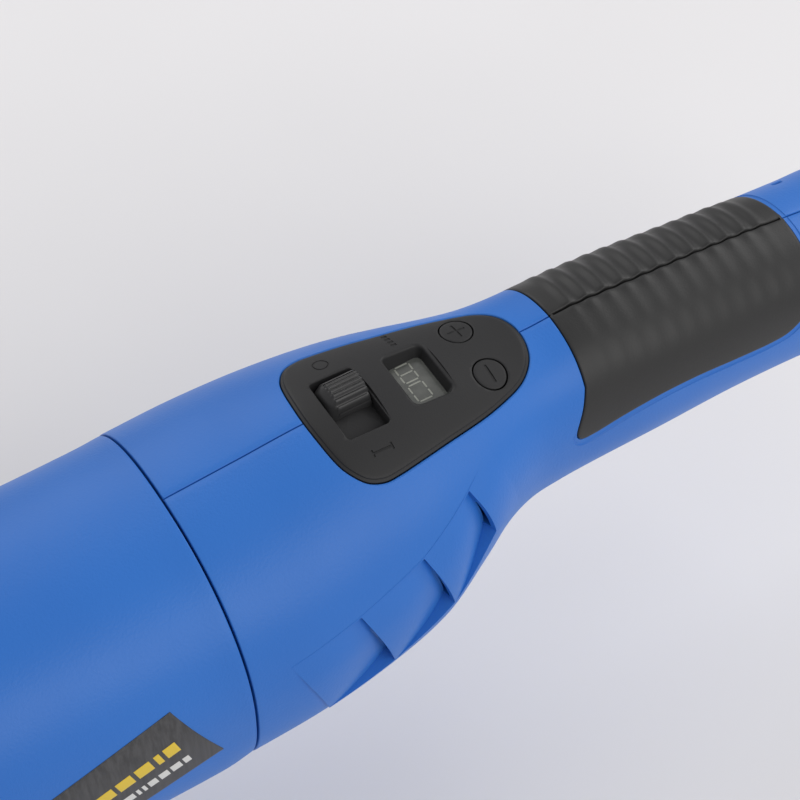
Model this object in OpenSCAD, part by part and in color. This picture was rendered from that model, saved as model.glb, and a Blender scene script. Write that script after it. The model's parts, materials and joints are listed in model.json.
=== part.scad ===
// Corded dual action polisher: a vertical drive spindle, an eccentric free-spinning pad,
// a lying motor and a two-part handle. The origin is on the drive axis, on the pad face.
// +X runs along the motor to the tail, +Z is up.

/* [Overall] */
// Height of the motor axis above the pad face
axis_z = 88; // [87:0.5:90]
// Distance from the drive axis to the seam between motor housing and handle
seam_x = 150; // [149:0.5:152]
// Diameter of the orbit that the pad makes
orbit = 15; // [12:1:16]
// Clearance between covers that meet
seam_gap = 0.5; // [0.3:0.1:0.8]

/* [Pad] */
// Radius of the backing plate
plate_r = 61.5; // [58:0.5:64]
// Thickness of the hook face
hook_t = 1.6; // [1.2:0.1:2]
// Top of the cushion layer
cushion_top = 9.5; // [8:0.5:10]
// Radius of the pad bolt's shank
pad_bolt_r = 3.95; // [3.9:0.01:3.98]

/* [Head] */
// Radius of the rubber shroud, outside
shroud_r = 45.5; // [45:0.1:46]
// Radius of the counterweight's balance mass
weight_r = 41; // [38:0.5:41.5]
// Radius of the side handle's threaded hole
side_thread_r = 3.4; // [3.3:0.05:3.5]
// Depth of the side handle's threaded hole
side_thread_l = 14; // [12:1:15]

/* [Gears] */
// Teeth on the bevel pinion
pinion_teeth = 11; // [11:1:12]
// Teeth on the crown gear
crown_teeth = 43; // [41:1:43]
// Tooth module at the large end
gear_module = 1.15; // [1.1:0.01:1.18]
// Backlash at the pitch line
backlash = 0.22; // [0.15:0.01:0.3]

/* [Motor] */
// Radius of the rotor's iron core
rotor_r = 20.5; // [19:0.5:21]
// Air gap between rotor and stator
air_gap = 0.8; // [0.6:0.1:1]
// Radius of the cooling fan
fan_r = 37; // [34:0.5:37.5]

/* [Controls] */
// Travel of the power slider
slider_travel = 8; // [6:0.5:8]
// Radius of a speed button
button_r = 4.3; // [4:0.1:4.5]
// Radius of the cord opening in the gland
cord_r = 4.3; // [4:0.1:4.6]

/* [Hidden] */
$fn = 64;
throw_x = orbit / 2;       // offset of the pad's axis from the drive axis
fit_gap = 0.02;            // radial gap of a seated ring

// ---- colours ----
blue = [0.13, 0.33, 0.72];
dark = [0.16, 0.16, 0.17];
rubber = [0.12, 0.12, 0.13];
steel = [0.70, 0.71, 0.73];
alloy = [0.62, 0.63, 0.65];
copper = [0.72, 0.42, 0.22];

// ---- form of the handle: rows of [distance past the seam, half width, top, bottom, widest height,
// power of the outline], all but the power in mm, heights from the motor axis ----
handle_form = [
    [0, 43.6, 43.3, -43.2, 0.0, 2.25], [20, 45.0, 45.0, -42.6, 2.0, 2.12],
    [40, 43.8, 46.6, -40.5, 3.0, 2.05], [60, 40.4, 46.0, -34.0, 5.8, 2.0],
    [75, 33.8, 44.5, -24.0, 11.0, 2.05], [86, 28.2, 43.0, -17.0, 14.0, 2.25],
    [96, 24.8, 41.8, -13.6, 14.8, 2.4], [106, 23.8, 41.4, -12.6, 14.4, 2.4],
    [118, 23.6, 42.1, -12.6, 14.2, 2.32], [140, 23.7, 40.5, -12.7, 14.2, 2.25],
    [165, 23.2, 38.3, -13.2, 13.1, 2.15], [190, 22.8, 35.5, -14.4, 10.8, 2.2],
    [205, 23.2, 33.2, -15.6, 9.2, 2.25], [222, 23.8, 30.4, -16.4, 7.4, 2.3],
    [230, 21.5, 27.4, -14.6, 6.6, 2.2], [235, 15.5, 20.8, -8.6, 6.2, 2.1]
];
tail_s = 235;        // end of the handle, past the seam
tail_z = 6.3;        // height of the cord's line from the motor axis
// form of the motor housing: rows as above, distance before the seam; the last value is the power of
// the outline's lower half
housing_form = [
    [-96, 43.0, 43.0, -43.0, 0, 2.2, 2.5], [-80, 42.8, 42.8, -42.8, 0, 2.25, 2.7],
    [-35, 42.6, 42.6, -42.6, 0, 2.25, 2.75], [-8, 43.1, 42.9, -42.9, 0, 2.25, 2.6],
    [0, 43.6, 43.3, -43.2, 0, 2.25, 2.25]
];
// form of the head cover: rows as above, distance from the drive axis
cover_form = [
    [-51.6, 5, 8, -4, 2.4, 2], [-50.8, 13, 15.5, -8.5, 2.2, 2.05], [-49, 20.5, 21.5, -13, 2, 2.1],
    [-44, 31, 29, -18, 1, 2.15],
    [-34, 39.5, 36.5, -20, 0, 2.2], [-18, 45, 41.5, -22, 0, 2.25], [0, 46.5, 43.6, -30, 0, 2.25],
    [22, 45.5, 44.4, -40, 0, 2.25], [44, 44.2, 44.0, -43.6, 0, 2.25]
];

// ---- curve and loft functions ----
function slope(k, i) = let(a = max(i - 1, 0), b = min(i + 1, len(k) - 1))
    (k[b][1] - k[a][1]) / (k[b][0] - k[a][0]);
function span(k, t, i = 0) = (i >= len(k) - 2 || t < k[i + 1][0]) ? i : span(k, t, i + 1);
function smooth(k, t) = let(i = span(k, t), a = k[i], b = k[i + 1], h = b[0] - a[0],
    u = min(max((t - a[0]) / h, 0), 1))
    (2 * u^3 - 3 * u^2 + 1) * a[1] + (u^3 - 2 * u^2 + u) * h * slope(k, i)
    + (3 * u^2 - 2 * u^3) * b[1] + (u^3 - u^2) * h * slope(k, i + 1);
function column(form, c) = [for (r = form) [r[0], r[c]]];
function bend(v, p) = sign(v) * pow(abs(v), 2 / p);
// one outline, shrunk by inset: half width, top, bottom and widest height set its size
function outline(form, s, inset, sides, x0) = let(
    w = smooth(column(form, 1), s) - inset, mid = smooth(column(form, 4), s),
    up = smooth(column(form, 2), s) - mid - inset, down = mid - smooth(column(form, 3), s) - inset,
    above = smooth(column(form, 5), s), below = smooth(column(form, len(form[0]) - 1), s))
    [for (k = [0:sides - 1]) let(a = 360 * k / sides, p = sin(a) > 0 ? above : below)
        [x0 + s, w * bend(cos(a), p), axis_z + mid + (sin(a) > 0 ? up : down) * bend(sin(a), p)]];
module loft(form, stations, inset = 0, sides = 48, x0 = 0) {
    n = len(stations);
    points = [for (s = stations) each outline(form, s, inset, sides, x0)];
    walls = [for (i = [0:n - 2], k = [0:sides - 1]) each let(m = (k + 1) % sides, a = i * sides,
        b = a + sides) [[a + k, b + k, b + m], [a + k, b + m, a + m]]];
    polyhedron(points, concat([[for (k = [0:sides - 1]) k]], walls,
        [[for (k = [0:sides - 1]) n * sides - 1 - k]]), convexity = 6);
}
function steps(a, b, n) = [for (i = [0:n]) a + (b - a) * i / n];

// ---- shared shapes ----
module along_x(x) { translate([x, 0, axis_z]) rotate([0, 90, 0]) children(); }
module ring(r_out, r_in, h) {
    difference() {
        cylinder(r = r_out, h = h);
        translate([0, 0, -1]) cylinder(r = r_in, h = h + 2);
    }
}
// outer race and balls of a ball bearing, from z = 0 up
module bearing_outer(bore, od, w) {
    gap = (od - bore) / 2;
    difference() {
        ring(od / 2 - fit_gap, bore / 2 + gap * 0.68, w);
        translate([0, 0, w / 2]) rotate_extrude() translate([(bore + od) / 4, 0]) circle(r = gap * 0.27);
    }
    for (k = [0:7]) rotate(45 * k) translate([(bore + od) / 4, 0, w / 2]) sphere(r = gap * 0.25);
}
module bearing_inner(bore, od, w) {
    gap = (od - bore) / 2;
    difference() {
        ring(bore / 2 + gap * 0.32, bore / 2 + fit_gap, w);
        translate([0, 0, w / 2]) rotate_extrude() translate([(bore + od) / 4, 0]) circle(r = gap * 0.27);
    }
}
// cap screw along +Z with its head below z = 0
module cap_screw(r, l, head_r, head_h) {
    cylinder(r = r, h = l);
    difference() {
        translate([0, 0, -head_h]) cylinder(r = head_r, h = head_h);
        translate([0, 0, -head_h - 1]) cylinder(r = head_r * 0.5, h = head_h * 0.6 + 1, $fn = 6);
    }
}

// ---- pad ----
module hook_face() {
    color(dark) translate([throw_x, 0, 0]) ring(plate_r - 0.5, 6.8, hook_t);
}
module plate_cushion() {
    color(rubber) translate([throw_x, 0, 0]) rotate_extrude() polygon([[8, hook_t], [plate_r, hook_t],
        [plate_r, hook_t + 2], [plate_r - 3, cushion_top], [8, cushion_top]]);
}
hub_top = 21;        // top of the backing plate's hub
bolt_seat = 14.5;    // seat of the pad bolt's head
module backing_plate() {
    ribs = 12;
    color(dark) translate([throw_x, 0, 0]) difference() {
        union() {
            rotate_extrude() polygon([[0, cushion_top], [plate_r - 3.5, cushion_top],
                [plate_r - 3.5, 11], [20, 13.5], [17, hub_top], [0, hub_top]]);
            for (k = [0:ribs - 1]) rotate(360 / ribs * k) translate([15, -1, cushion_top + 0.5])
                cube([plate_r - 22, 2, 5]);
        }
        translate([0, 0, 5]) cylinder(r = 8, h = bolt_seat - 5);
        translate([0, 0, 5]) cylinder(r = pad_bolt_r + 0.1, h = 30);
    }
}
module pad_bolt() {
    color(steel) translate([throw_x, 0, bolt_seat]) cap_screw(pad_bolt_r, 21, 6.5, 6);
}
bearing_low = 27;    // underside of the lower eccentric bearing
clip_z = bearing_low + 19.95;
module pad_spindle() {
    color(steel) translate([throw_x, 0, 0]) difference() {
        union() {
            intersection() {
                translate([0, 0, hub_top]) cylinder(r = 14, h = 5);
                translate([-11, -20, 0]) cube([22, 40, 40]);
            }
            translate([0, 0, hub_top + 5]) cylinder(r = 10.5, h = 1);
            translate([0, 0, hub_top + 6]) cylinder(r = 8.5, h = 21.2);
        }
        translate([0, 0, hub_top - 1]) cylinder(r = pad_bolt_r + 0.05, h = 17);
        translate([0, 0, clip_z]) ring(12, 7.9, 0.7);
    }
}
module spindle_clip() {
    color(steel) translate([throw_x, 0, clip_z + 0.03]) difference() {
        ring(9.7, 7.95, 0.6);
        translate([0, -1.5, -1]) cube([20, 3, 3]);
    }
}
module eccentric_bearing_inners() {
    color(steel) for (z = [0, 10]) translate([throw_x, 0, bearing_low + z]) bearing_inner(17, 35, 10 - 0.1);
}
module eccentric_bearings() {
    color(steel) for (z = [0, 10]) translate([throw_x, 0, bearing_low + z]) bearing_outer(17, 35, 10 - 0.1);
}

// ---- drive spindle ----
weight_low = 25;     // underside of the counterweight
module counterweight() {
    color(alloy) difference() {
        union() {
            translate([throw_x, 0, weight_low]) cylinder(r = 21.5, h = 26);
            translate([0, 0, 48]) cylinder(r = 28, h = 4);
            translate([0, 0, 48]) cylinder(r = 13, h = 9.5);
            translate([0, 0, 57]) cylinder(r = 8.2, h = 3);
            intersection() {
                translate([0, 0, 28]) cylinder(r = weight_r, h = 22);
                translate([-60, -36, 0]) cube([52, 72, 80]);
            }
        }
        translate([throw_x, 0, weight_low - 1]) cylinder(r = 17.5, h = 23.2);
        translate([throw_x, 0, 30]) cylinder(r = 10, h = 18.6);
        translate([0, 0, 49.5]) cylinder(r = 6 + fit_gap, h = 20);
    }
}
module drive_spindle() {
    color(steel) union() {
        translate([0, 0, 49.5]) cylinder(r = 6, h = 56);
        translate([0, 0, 70]) cylinder(r = 8, h = crown_low - 70);
        translate([0, 0, 105.5]) cylinder(r = 5, h = 8.3);
    }
}
module spindle_bearing_inners() {
    color(steel) {
        translate([0, 0, 60]) bearing_inner(12, 32, 10);
        translate([0, 0, 105.5]) bearing_inner(10, 26, 8);
    }
}
module spindle_bearings() {
    color(steel) {
        translate([0, 0, 60]) bearing_outer(12, 32, 10);
        translate([0, 0, 105.5]) bearing_outer(10, 26, 8);
    }
}

// ---- bevel gears: every point is drawn at the large end and scaled to the apex for the small end ----
face_share = 0.68;   // small end over large end
function involute(a) = tan(a) - a * PI / 180;
function half_tooth(h, rv) = let(c = rv * cos(20) / (rv + h), a = c < 1 ? acos(c) : 0)
    (rv + h) * ((PI * gear_module - backlash) / 4 / rv + involute(20) - involute(a));
// one tooth as [angle, radius, distance from the apex]
function tooth(heights, r, cone, z, k) = let(rv = r / cos(cone))
    [for (side = [-1, 1], i = [0:len(heights) - 1])
        let(h = side < 0 ? heights[i] : heights[len(heights) - 1 - i], rho = r + h * cos(cone))
        [360 * k / z + side * half_tooth(h, rv) / rho * 180 / PI, rho, r / tan(cone) - h * sin(cone)]];
// toothed cone round +Z with its apex at the origin and its teeth towards it, down to a flat back
module bevel(z, mate, heights, back, hub_r) {
    r = z * gear_module / 2;
    cone = atan(z / mate);
    front = [for (k = [0:z - 1]) each tooth(heights, r, cone, z, k)];
    n = len(front);
    large = [for (p = front) [p[1] * cos(p[0]), p[1] * sin(p[0]), -p[2]]];
    small = large * face_share;
    rim = [for (p = front) [p[1] * cos(p[0]), p[1] * sin(p[0]), -back]];
    centre = [[0, 0, -front[0][2] * face_share], [0, 0, -back]];
    wall = function(a, b) [for (i = [0:n - 1]) each let(j = (i + 1) % n)
        [[a * n + i, b * n + i, b * n + j], [a * n + i, b * n + j, a * n + j]]];
    polyhedron(concat(small, large, rim, centre), concat(wall(1, 0), wall(2, 1),
        [for (i = [0:n - 1]) [3 * n, (i + 1) % n, i]],
        [for (i = [0:n - 1]) [3 * n + 1, 2 * n + i, 2 * n + (i + 1) % n]]), convexity = 12);
}
crown_r = crown_teeth * gear_module / 2;
pinion_r = pinion_teeth * gear_module / 2;
crown_low = axis_z - pinion_r - 7.5;
module crown_gear() {
    color(steel) difference() {
        union() {
            translate([0, 0, axis_z]) rotate(180 / crown_teeth)
                bevel(crown_teeth, pinion_teeth, [-1.3 * gear_module, 0.72 * gear_module], pinion_r + 5, 9);
            translate([0, 0, crown_low]) cylinder(r = 13, h = 4);
        }
        cylinder(r = 6 + fit_gap, h = 200);
        translate([0, 0, axis_z - 5.6]) cylinder(r = 15.4, h = 20);
    }
}
module bevel_pinion() {
    heights = [-0.98, -0.45, 0, 0.5, 1.02] * gear_module;
    color(steel) difference() {
        union() {
            along_x(0) rotate([180, 0, 0])
                bevel(pinion_teeth, crown_teeth, heights, crown_r + 3, 5);
            along_x(crown_r + 1) cylinder(r = 7, h = 33 - crown_r);
        }
        along_x(0) cylinder(r = 2.5 + fit_gap, h = 60);
    }
}

// ---- motor ----
module armature_shaft() {
    color(steel) {
        along_x(17) cylinder(r = 2.5, h = 17);
        along_x(34) cylinder(r = 6, h = 5);
        along_x(39) cylinder(r = 7.5, h = 11);
        along_x(50) cylinder(r = 6, h = 93);
        along_x(143) cylinder(r = 4, h = 7.5);
    }
}
module motor_bearing_inners() {
    color(steel) {
        along_x(39) bearing_inner(15, 35, 11);
        along_x(143) bearing_inner(8, 22, 7);
    }
}
module front_motor_bearing() { color(steel) along_x(39) bearing_outer(15, 35, 11); }
module rear_motor_bearing() { color(steel) along_x(143) bearing_outer(8, 22, 7); }
module bearing_bush() { color(rubber) along_x(143) ring(12.95, 11, 7); }
rotor_slots = 12;
core_x = 74;         // front of the iron cores
core_l = 48;
module armature_core() {
    color(steel) along_x(core_x) difference() {
        cylinder(r = rotor_r, h = core_l);
        translate([0, 0, -1]) cylinder(r = 6 + fit_gap, h = core_l + 2);
        for (k = [0:rotor_slots - 1]) rotate(360 / rotor_slots * k) translate([0, 0, -1]) {
            translate([rotor_r - 5.2, 0]) cylinder(r = 2.5, h = core_l + 2, $fn = 24);
            translate([rotor_r - 5, -0.8]) cube([10, 1.6, core_l + 2]);
        }
    }
}
module armature_winding() {
    color(copper) {
        for (k = [0:rotor_slots - 1]) along_x(core_x - 0.5) rotate(360 / rotor_slots * k)
            translate([rotor_r - 5.2, 0]) cylinder(r = 2.35, h = core_l + 1, $fn = 24);
        for (x = [core_x - 6.5, core_x + core_l + 0.5]) along_x(x) rotate_extrude()
            polygon([[8, 1], [9, 0], [15, 0], [17.6, 2], [17.6, 5], [16.5, 6], [8, 6]]);
    }
}
commutator_x = 130;  // front of the commutator
module commutator() {
    color(copper) along_x(commutator_x) difference() {
        union() {
            ring(13.5, 6 + fit_gap, 10);
            ring(15, 6 + fit_gap, 1.6);
        }
        for (k = [0:23]) rotate(15 * k) translate([12.6, -0.3, 1.6]) cube([4, 0.6, 20]);
    }
}
module cooling_fan() {
    blades = 14;
    color(dark) difference() {
        along_x(56) union() {
            cylinder(r = 11, h = 10);
            translate([0, 0, 8]) ring(fan_r, 10, 2);
            for (k = [0:blades - 1]) rotate(360 / blades * k) translate([18, 0, 0]) rotate(-35)
                translate([-5, -0.9, 0]) cube([22, 1.8, 9]);
        }
        along_x(50) cylinder(r = 6 + fit_gap, h = 30);
    }
}
module stator_core() {
    bore = rotor_r + air_gap;
    color(steel) along_x(core_x) difference() {
        intersection() {
            cylinder(r = 39.4, h = core_l);
            translate([-50, -36.5, 0]) cube([100, 73, core_l]);
        }
        translate([0, 0, -1]) cylinder(r = bore, h = core_l + 2);
        for (side = [0, 180]) rotate(side) translate([0, 0, -1]) difference() {
            intersection() {
                cylinder(r = 31.5, h = core_l + 2);
                translate([-13, 16, 0]) cube([26, 20, 80]);
            }
            cylinder(r = 23.4, h = core_l + 3);
        }
        for (side = [0, 180]) rotate(side) translate([-3, 15, -1]) cube([6, 10, core_l + 2]);
    }
}
// two coils; each has two straight sides in the stator's slots and two bowed ends
module field_coils() {
    color(copper) for (half = [-1, 1]) {
        for (side = [-1, 1]) translate([core_x - 4, side * 26.7 - 2.3, axis_z + (half > 0 ? 1.6 : -10.6)])
            cube([core_l + 8, 4.6, 9]);
        for (x = [core_x - 7, core_x + core_l + 1]) translate([x, 0, axis_z]) rotate([0, 90, 0])
            difference() {
                ring(31, 23.6, 6);
                translate([half > 0 ? 0 : -60, -60, -1]) cube([60, 120, 20]);
                translate([-1.5, -60, -1]) cube([3, 120, 20]);
            }
    }
}
module air_baffle() {
    color(dark) along_x(67) {
        ring(39.4, 31.6, 1.6);
        ring(33, 31.6, 2.6);
    }
}
module brush_frame() {
    color(dark) difference() {
        union() {
            along_x(140.6) ring(16, 13, 12.4);
            along_x(151.6) difference() {
                cylinder(r = 16, h = 1.6);
                translate([0, 0, -1]) cylinder(r = 5, h = 4);
            }
            for (from = [-38, 15]) {
                translate([141.2, from, axis_z - 9]) cube([3, 23, 18]);
                translate([141.2, -9, axis_z + from]) cube([3, 18, 23]);
            }
            along_x(141.2) ring(38.6, 34, 3);
        }
        along_x(140) cylinder(r = 13, h = 11);
    }
}
brush_x = 135.6;     // middle of the brushes
module brush_holders() {
    color([0.75, 0.6, 0.3]) for (side = [-1, 1]) translate([brush_x, side * 26.5, axis_z]) difference() {
        translate([-4.5, -9, -6]) cube([10.1, 18, 12]);
        translate([-3.2, side > 0 ? -12 : -7.5, -4.7]) cube([6.4, 19.5, 9.4]);
    }
}
module carbon_brushes() {
    color([0.2, 0.2, 0.2]) for (side = [-1, 1]) translate([brush_x, side * 20.1, axis_z])
        cube([6.2, 12.8, 9.2], center = true);
}
// rolled strip behind each brush, with its free leg against the end of the holder
module brush_springs() {
    color(steel) for (side = [-1, 1]) translate([brush_x, side * 29.6, axis_z - 3.5]) {
        difference() {
            ring(2.9, 2.2, 7);
            translate([-1, side > 0 ? 0 : -4, -1]) cube([0.6, 4, 9]);
        }
        translate([2.3, side > 0 ? 0 : -4.2, 0]) cube([0.6, 4.2, 7]);
    }
}
screw_ring = 40.8;   // radius of the ring of screws that hold the motor housing
module motor_bearing_plate() {
    color(alloy) difference() {
        union() {
            along_x(50) cylinder(r = 38.3, h = 4);
            along_x(37) cylinder(r = 23.9, h = 13.1);
        }
        along_x(39) cylinder(r = 17.5, h = 11);
        along_x(30) cylinder(r = 9, h = 40);
        for (k = [0:7]) rotate_about_axis(45 * k) along_x(49) translate([30, 0]) cylinder(r = 3.6, h = 10);
    }
}
module rotate_about_axis(a) {
    translate([0, 0, axis_z]) rotate([a, 0, 0]) translate([0, 0, -axis_z]) children();
}

// ---- motor housing ----
housing_x = 54;      // front of the motor housing
housing_stations = [-96, -88, -80, -58, -35, -14, -5, -seam_gap];
module exhaust_slots() {
    for (side = [-1, 1], k = [-3:3]) rotate_about_axis(90 * side + 11 * k)
        translate([housing_x + 5, -1.4, axis_z + 30]) cube([13, 2.8, 30]);
}
module motor_housing() {
    color(blue) difference() {
        union() {
            loft(housing_form, housing_stations, 0, 64, seam_x);
            along_x(seam_x - 3) cylinder(r = 39.3, h = 9);
        }
        along_x(67) cylinder(r = 39.5, h = 77.4);
        along_x(housing_x - 1) cylinder(r = 38, h = 20);
        along_x(housing_x) cylinder(r = 36.4, h = 110);
        exhaust_slots();
        screw_places(housing_x - 1) cylinder(r = 2.05, h = 12);
    }
}
module housing_screws() {
    color(steel) screw_places(46) cap_screw(2, 18, 3, 3);
}
module screw_places(x) {
    for (k = [0:3]) rotate_about_axis(45 + 90 * k) along_x(x) translate([screw_ring, 0]) children();
}

// ---- gear head ----
module gear_head() {
    color(alloy) difference() {
        union() {
            translate([0, 0, 64.2]) cylinder(r = 43, h = 6);
            translate([0, 0, 64.2]) cylinder(r = 37, h = 44);
            translate([0, 0, 64.2]) cylinder(r = 17, h = 56);
            intersection() {
                along_x(0) cylinder(r = 33.5, h = 47);
                translate([0, -50, 64.2]) cube([60, 100, 80]);
            }
            along_x(46) cylinder(r = 43.6, h = 8);
            for (side = [-1, 1]) translate([0, 0, 92]) rotate([-90 * side, 0, 0]) cylinder(r = 9, h = 47);
        }
        translate([0, 0, 60]) cylinder(r = 29, h = 43);
        translate([0, 0, 100]) cylinder(r = 13, h = 14);
        along_x(20) cylinder(r = 24, h = 30.01);
        for (side = [-1, 1]) translate([0, side * 47, 92]) rotate([90 * side, 0, 0])
            translate([0, 0, -1]) cylinder(r = side_thread_r, h = side_thread_l + 1);
        along_x(50) cylinder(r = 38.4, h = 5);
        screw_places(40) cylinder(r = 2.2, h = 20);
        screw_places(40) cylinder(r = 3.4, h = 6.5);
        flange_holes(2.1, 62, 10);
    }
}
module flange_holes(r, z, h) {
    for (k = [0:3]) rotate(45 + 90 * k) translate([38.6, 0, z]) cylinder(r = r, h = h);
}
module bearing_flange() {
    color(alloy) difference() {
        union() {
            translate([0, 0, 58]) cylinder(r = 43, h = 6);
            translate([0, 0, 58]) cylinder(r = 28.8, h = 12.4);
        }
        translate([0, 0, 60]) cylinder(r = 16, h = 10.6);
        translate([0, 0, 50]) cylinder(r = 13.4, h = 30);
        flange_holes(2.4, 50, 20);
    }
}
module dust_seal() {
    color(rubber) translate([0, 0, 58]) ring(13.3, 8.25, 1.6);
}
module flange_screws() {
    color(steel) for (k = [0:3]) rotate(45 + 90 * k) translate([38.6, 0, 58]) cap_screw(2, 11, 3.6, 3);
}
module shroud() {
    color(rubber) rotate_extrude() polygon([[43.2, 24], [shroud_r, 24], [shroud_r + 0.6, 28],
        [shroud_r, 34], [shroud_r, 63.6], [43.2, 63.6]]);
}
cover_low = 72;      // lower edge of the cover round the head
cover_t = 4;         // thickness of the cover
module head_cover() {
    color(rubber) difference() {
        loft(cover_form, concat([-51.6, -51.2, -50.4, -49], steps(-47, 42.4, 17)), 0, 48);
        loft(cover_form, steps(-47.3, 43.4, 16), cover_t, 48);
        translate([-100, -100, -10]) cube([128, 200, cover_low + 10]);
        translate([27.9, -100, cover_low - 122]) cube([30, 200, 100]);
        translate([0, 0, 40]) cylinder(r = shroud_r + 0.8, h = cover_low - 41);
        translate([0, 0, 60]) cylinder(r = 37.3, h = 17.2);
        for (side = [-1, 1]) translate([0, 0, 92]) rotate([-90 * side, 0, 0]) cylinder(r = 9.4, h = 60);
    }
}

// ---- handle ----
grip_from = 113.2;   // front edge of the grips, past the seam
grip_to = 191;
grip_t = 2.2;        // thickness of the rubber
// side outline of a grip in [distance past the seam, height from the motor axis]
grip_outline = [
    [grip_from, 60], [grip_from, 34], [112.3, 28], [110, 24], [108.4, 21.6], [108.4, 19.4], [110.4, 17.6],
    [114, 17.4], [124, 18.8], [136, 19.4], [148, 18.8], [162, 17.2], [174, 16.2], [181, 17.2],
    [187, 21.5], [190, 27], [grip_to, 34], [grip_to, 60]
];
module grip_zone(grow) {
    translate([seam_x, 100, axis_z]) rotate([90, 0, 0]) linear_extrude(200) offset(delta = grow)
        polygon(grip_outline);
}
grip_stations = steps(106, 193, 18);
module grip(side) {
    color(rubber) intersection() {
        grip_zone(0);
        difference() {
            loft(handle_form, grip_stations, -0.1, 40, seam_x);
            loft(handle_form, grip_stations, grip_t - 0.05, 40, seam_x);
        }
        translate([0, side < 0 ? -100.05 : 0.05, 0]) cube([500, 100, 300]);
    }
}
module left_grip() { grip(-1); }
module right_grip() { grip(1); }

// top outline of the control panel in [distance past the seam, half width]
panel_outline = [
    [39.3, 0], [39.6, 6], [40.4, 12], [41.9, 16.4], [45.2, 20.4], [49.5, 22], [54, 21.9], [62, 20.8],
    [71, 19.3], [81.7, 17.5], [90, 15.4], [95.6, 13.4], [99.2, 11], [101.8, 7.9], [103.3, 4], [103.8, 0]
];
module panel_zone(grow) {
    mirrored = [for (i = [len(panel_outline) - 2:-1:1]) [panel_outline[i][0], -panel_outline[i][1]]];
    translate([seam_x, 0, axis_z + 20]) linear_extrude(60) offset(delta = grow)
        polygon(concat(panel_outline, mirrored));
}
slot_x = 46.4;       // front of the slider's slot, past the seam
slot_l = 12.4;
slot_w = 19.2;
window_x = 66.8;     // front of the display window, past the seam
window_l = 11.4;
window_w = 16.6;
button_s = 89.4;     // speed buttons, past the seam
button_y = 7.9;
panel_t = 3;         // thickness of the control panel
panel_stations = steps(38, 106, 16);
module control_panel() {
    color(dark) difference() {
        intersection() {
            panel_zone(0);
            difference() {
                loft(handle_form, panel_stations, -0.4, 40, seam_x);
                translate([0, 0, -panel_t]) loft(handle_form, panel_stations, -0.4, 40, seam_x);
            }
        }
        translate([seam_x + slot_x, -slot_w / 2, axis_z]) cube([slot_l, slot_w, 80]);
        translate([seam_x + window_x, -window_w / 2, axis_z]) cube([window_l, window_w, 80]);
        for (side = [-1, 1]) translate([seam_x + button_s, side * button_y, axis_z])
            cylinder(r = button_r + 0.25, h = 80);
    }
}
module speed_button(side) {
    color(dark) translate([seam_x + button_s, side * button_y, 0]) {
        intersection() {
            translate([0, 0, axis_z + 38]) cylinder(r = button_r, h = 20);
            translate([-seam_x - button_s, -side * button_y, 0])
                loft(handle_form, panel_stations, -0.4, 40, seam_x);
        }
        translate([0, 0, board_z + 5.6]) cylinder(r = 1.5, h = axis_z + 38.1 - board_z - 5.6);
    }
}
module plus_button() { speed_button(1); }
module minus_button() { speed_button(-1); }
board_z = axis_z + 30;   // underside of the control board
module control_board() {
    color([0.05, 0.3, 0.15]) translate([seam_x + 63, -13, board_z]) cube([38, 26, 1.6]);
    color(dark) for (side = [-1, 1]) translate([seam_x + button_s, side * button_y, board_z + 1.6]) {
        translate([-3, -3, 0]) cube([6, 6, 2.6]);
        cylinder(r = 1.6, h = 3.3);
    }
    color(dark) translate([seam_x + 80, -4, board_z - 2.2]) cube([8, 8, 2.2]);
    color(dark) translate([seam_x + 68, 5, board_z - 3]) cube([7, 5, 3]);
}
module display_module() {
    color([0.25, 0.25, 0.26]) translate([seam_x + window_x - 0.5, -window_w / 2 - 0.5, board_z + 1.6])
        cube([window_l + 1, window_w + 1, 7]);
}
module display_lens() {
    color([0.5, 0.52, 0.5, 0.5]) translate([seam_x + window_x + 0.1, -window_w / 2 + 0.1, board_z + 8.7])
        cube([window_l - 0.2, window_w - 0.2, 1.5]);
}
module switch_body() {
    color(dark) difference() {
        translate([seam_x + slot_x - 1, -11.5, axis_z + 20]) cube([14.4, 23, 18]);
        translate([seam_x + slot_x + 3.7, 0.6 - slider_travel, axis_z + 32])
            cube([5, slider_travel + 6.8, 10]);
    }
}
knob_l = 10.6;       // length of the slider's knob along its travel
knob_far = 9.2;      // right-hand end of the knob when it is off
module power_slider() {
    crown_z = axis_z + 49;
    color(dark) translate([seam_x + slot_x + 0.4, knob_far - knob_l, 0]) {
        difference() {
            union() {
                translate([0, 0, axis_z + 38.6]) cube([slot_l - 0.8, knob_l, 7.8]);
                translate([0, 0, axis_z + 46.4]) rotate([0, 90, 0]) intersection() {
                    translate([5.5, 5.3, 0]) cylinder(r = 8.1, h = slot_l - 0.8);
                    translate([-4, 0, 0]) cube([4.01, knob_l, slot_l]);
                }
            }
            for (k = [0:4]) translate([-1, 0.7 + 1.45 * k, crown_z - 0.75 - 0.04 * (k - 3) * (k - 3)])
                cube([30, 0.7, 3]);
        }
        translate([4, 3.4, axis_z + 33]) cube([3.8, 3.6, 5.7]);
    }
}

shell_stations = [seam_gap, 12, 24, 36, 48, 60, 68, 75, 81, 86, 91, 96, 106, 118, 140, 165, 190, 205, 222,
    226, 230, 233, tail_s];
core_stations = [-1, 20, 40, 50, 60, 68, 75, 81, 86, 96, 106, 118, 140, 165, 190, 205, 220, 227];
shell_t = 4.2;       // wall of the handle shells
// screw bosses in [distance past the seam, height from the motor axis]
boss_places = [[14, -34.6], [58, -24.5], [98, -5.2], [166, -5], [200, 20.5], [207, -6.5]];
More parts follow.
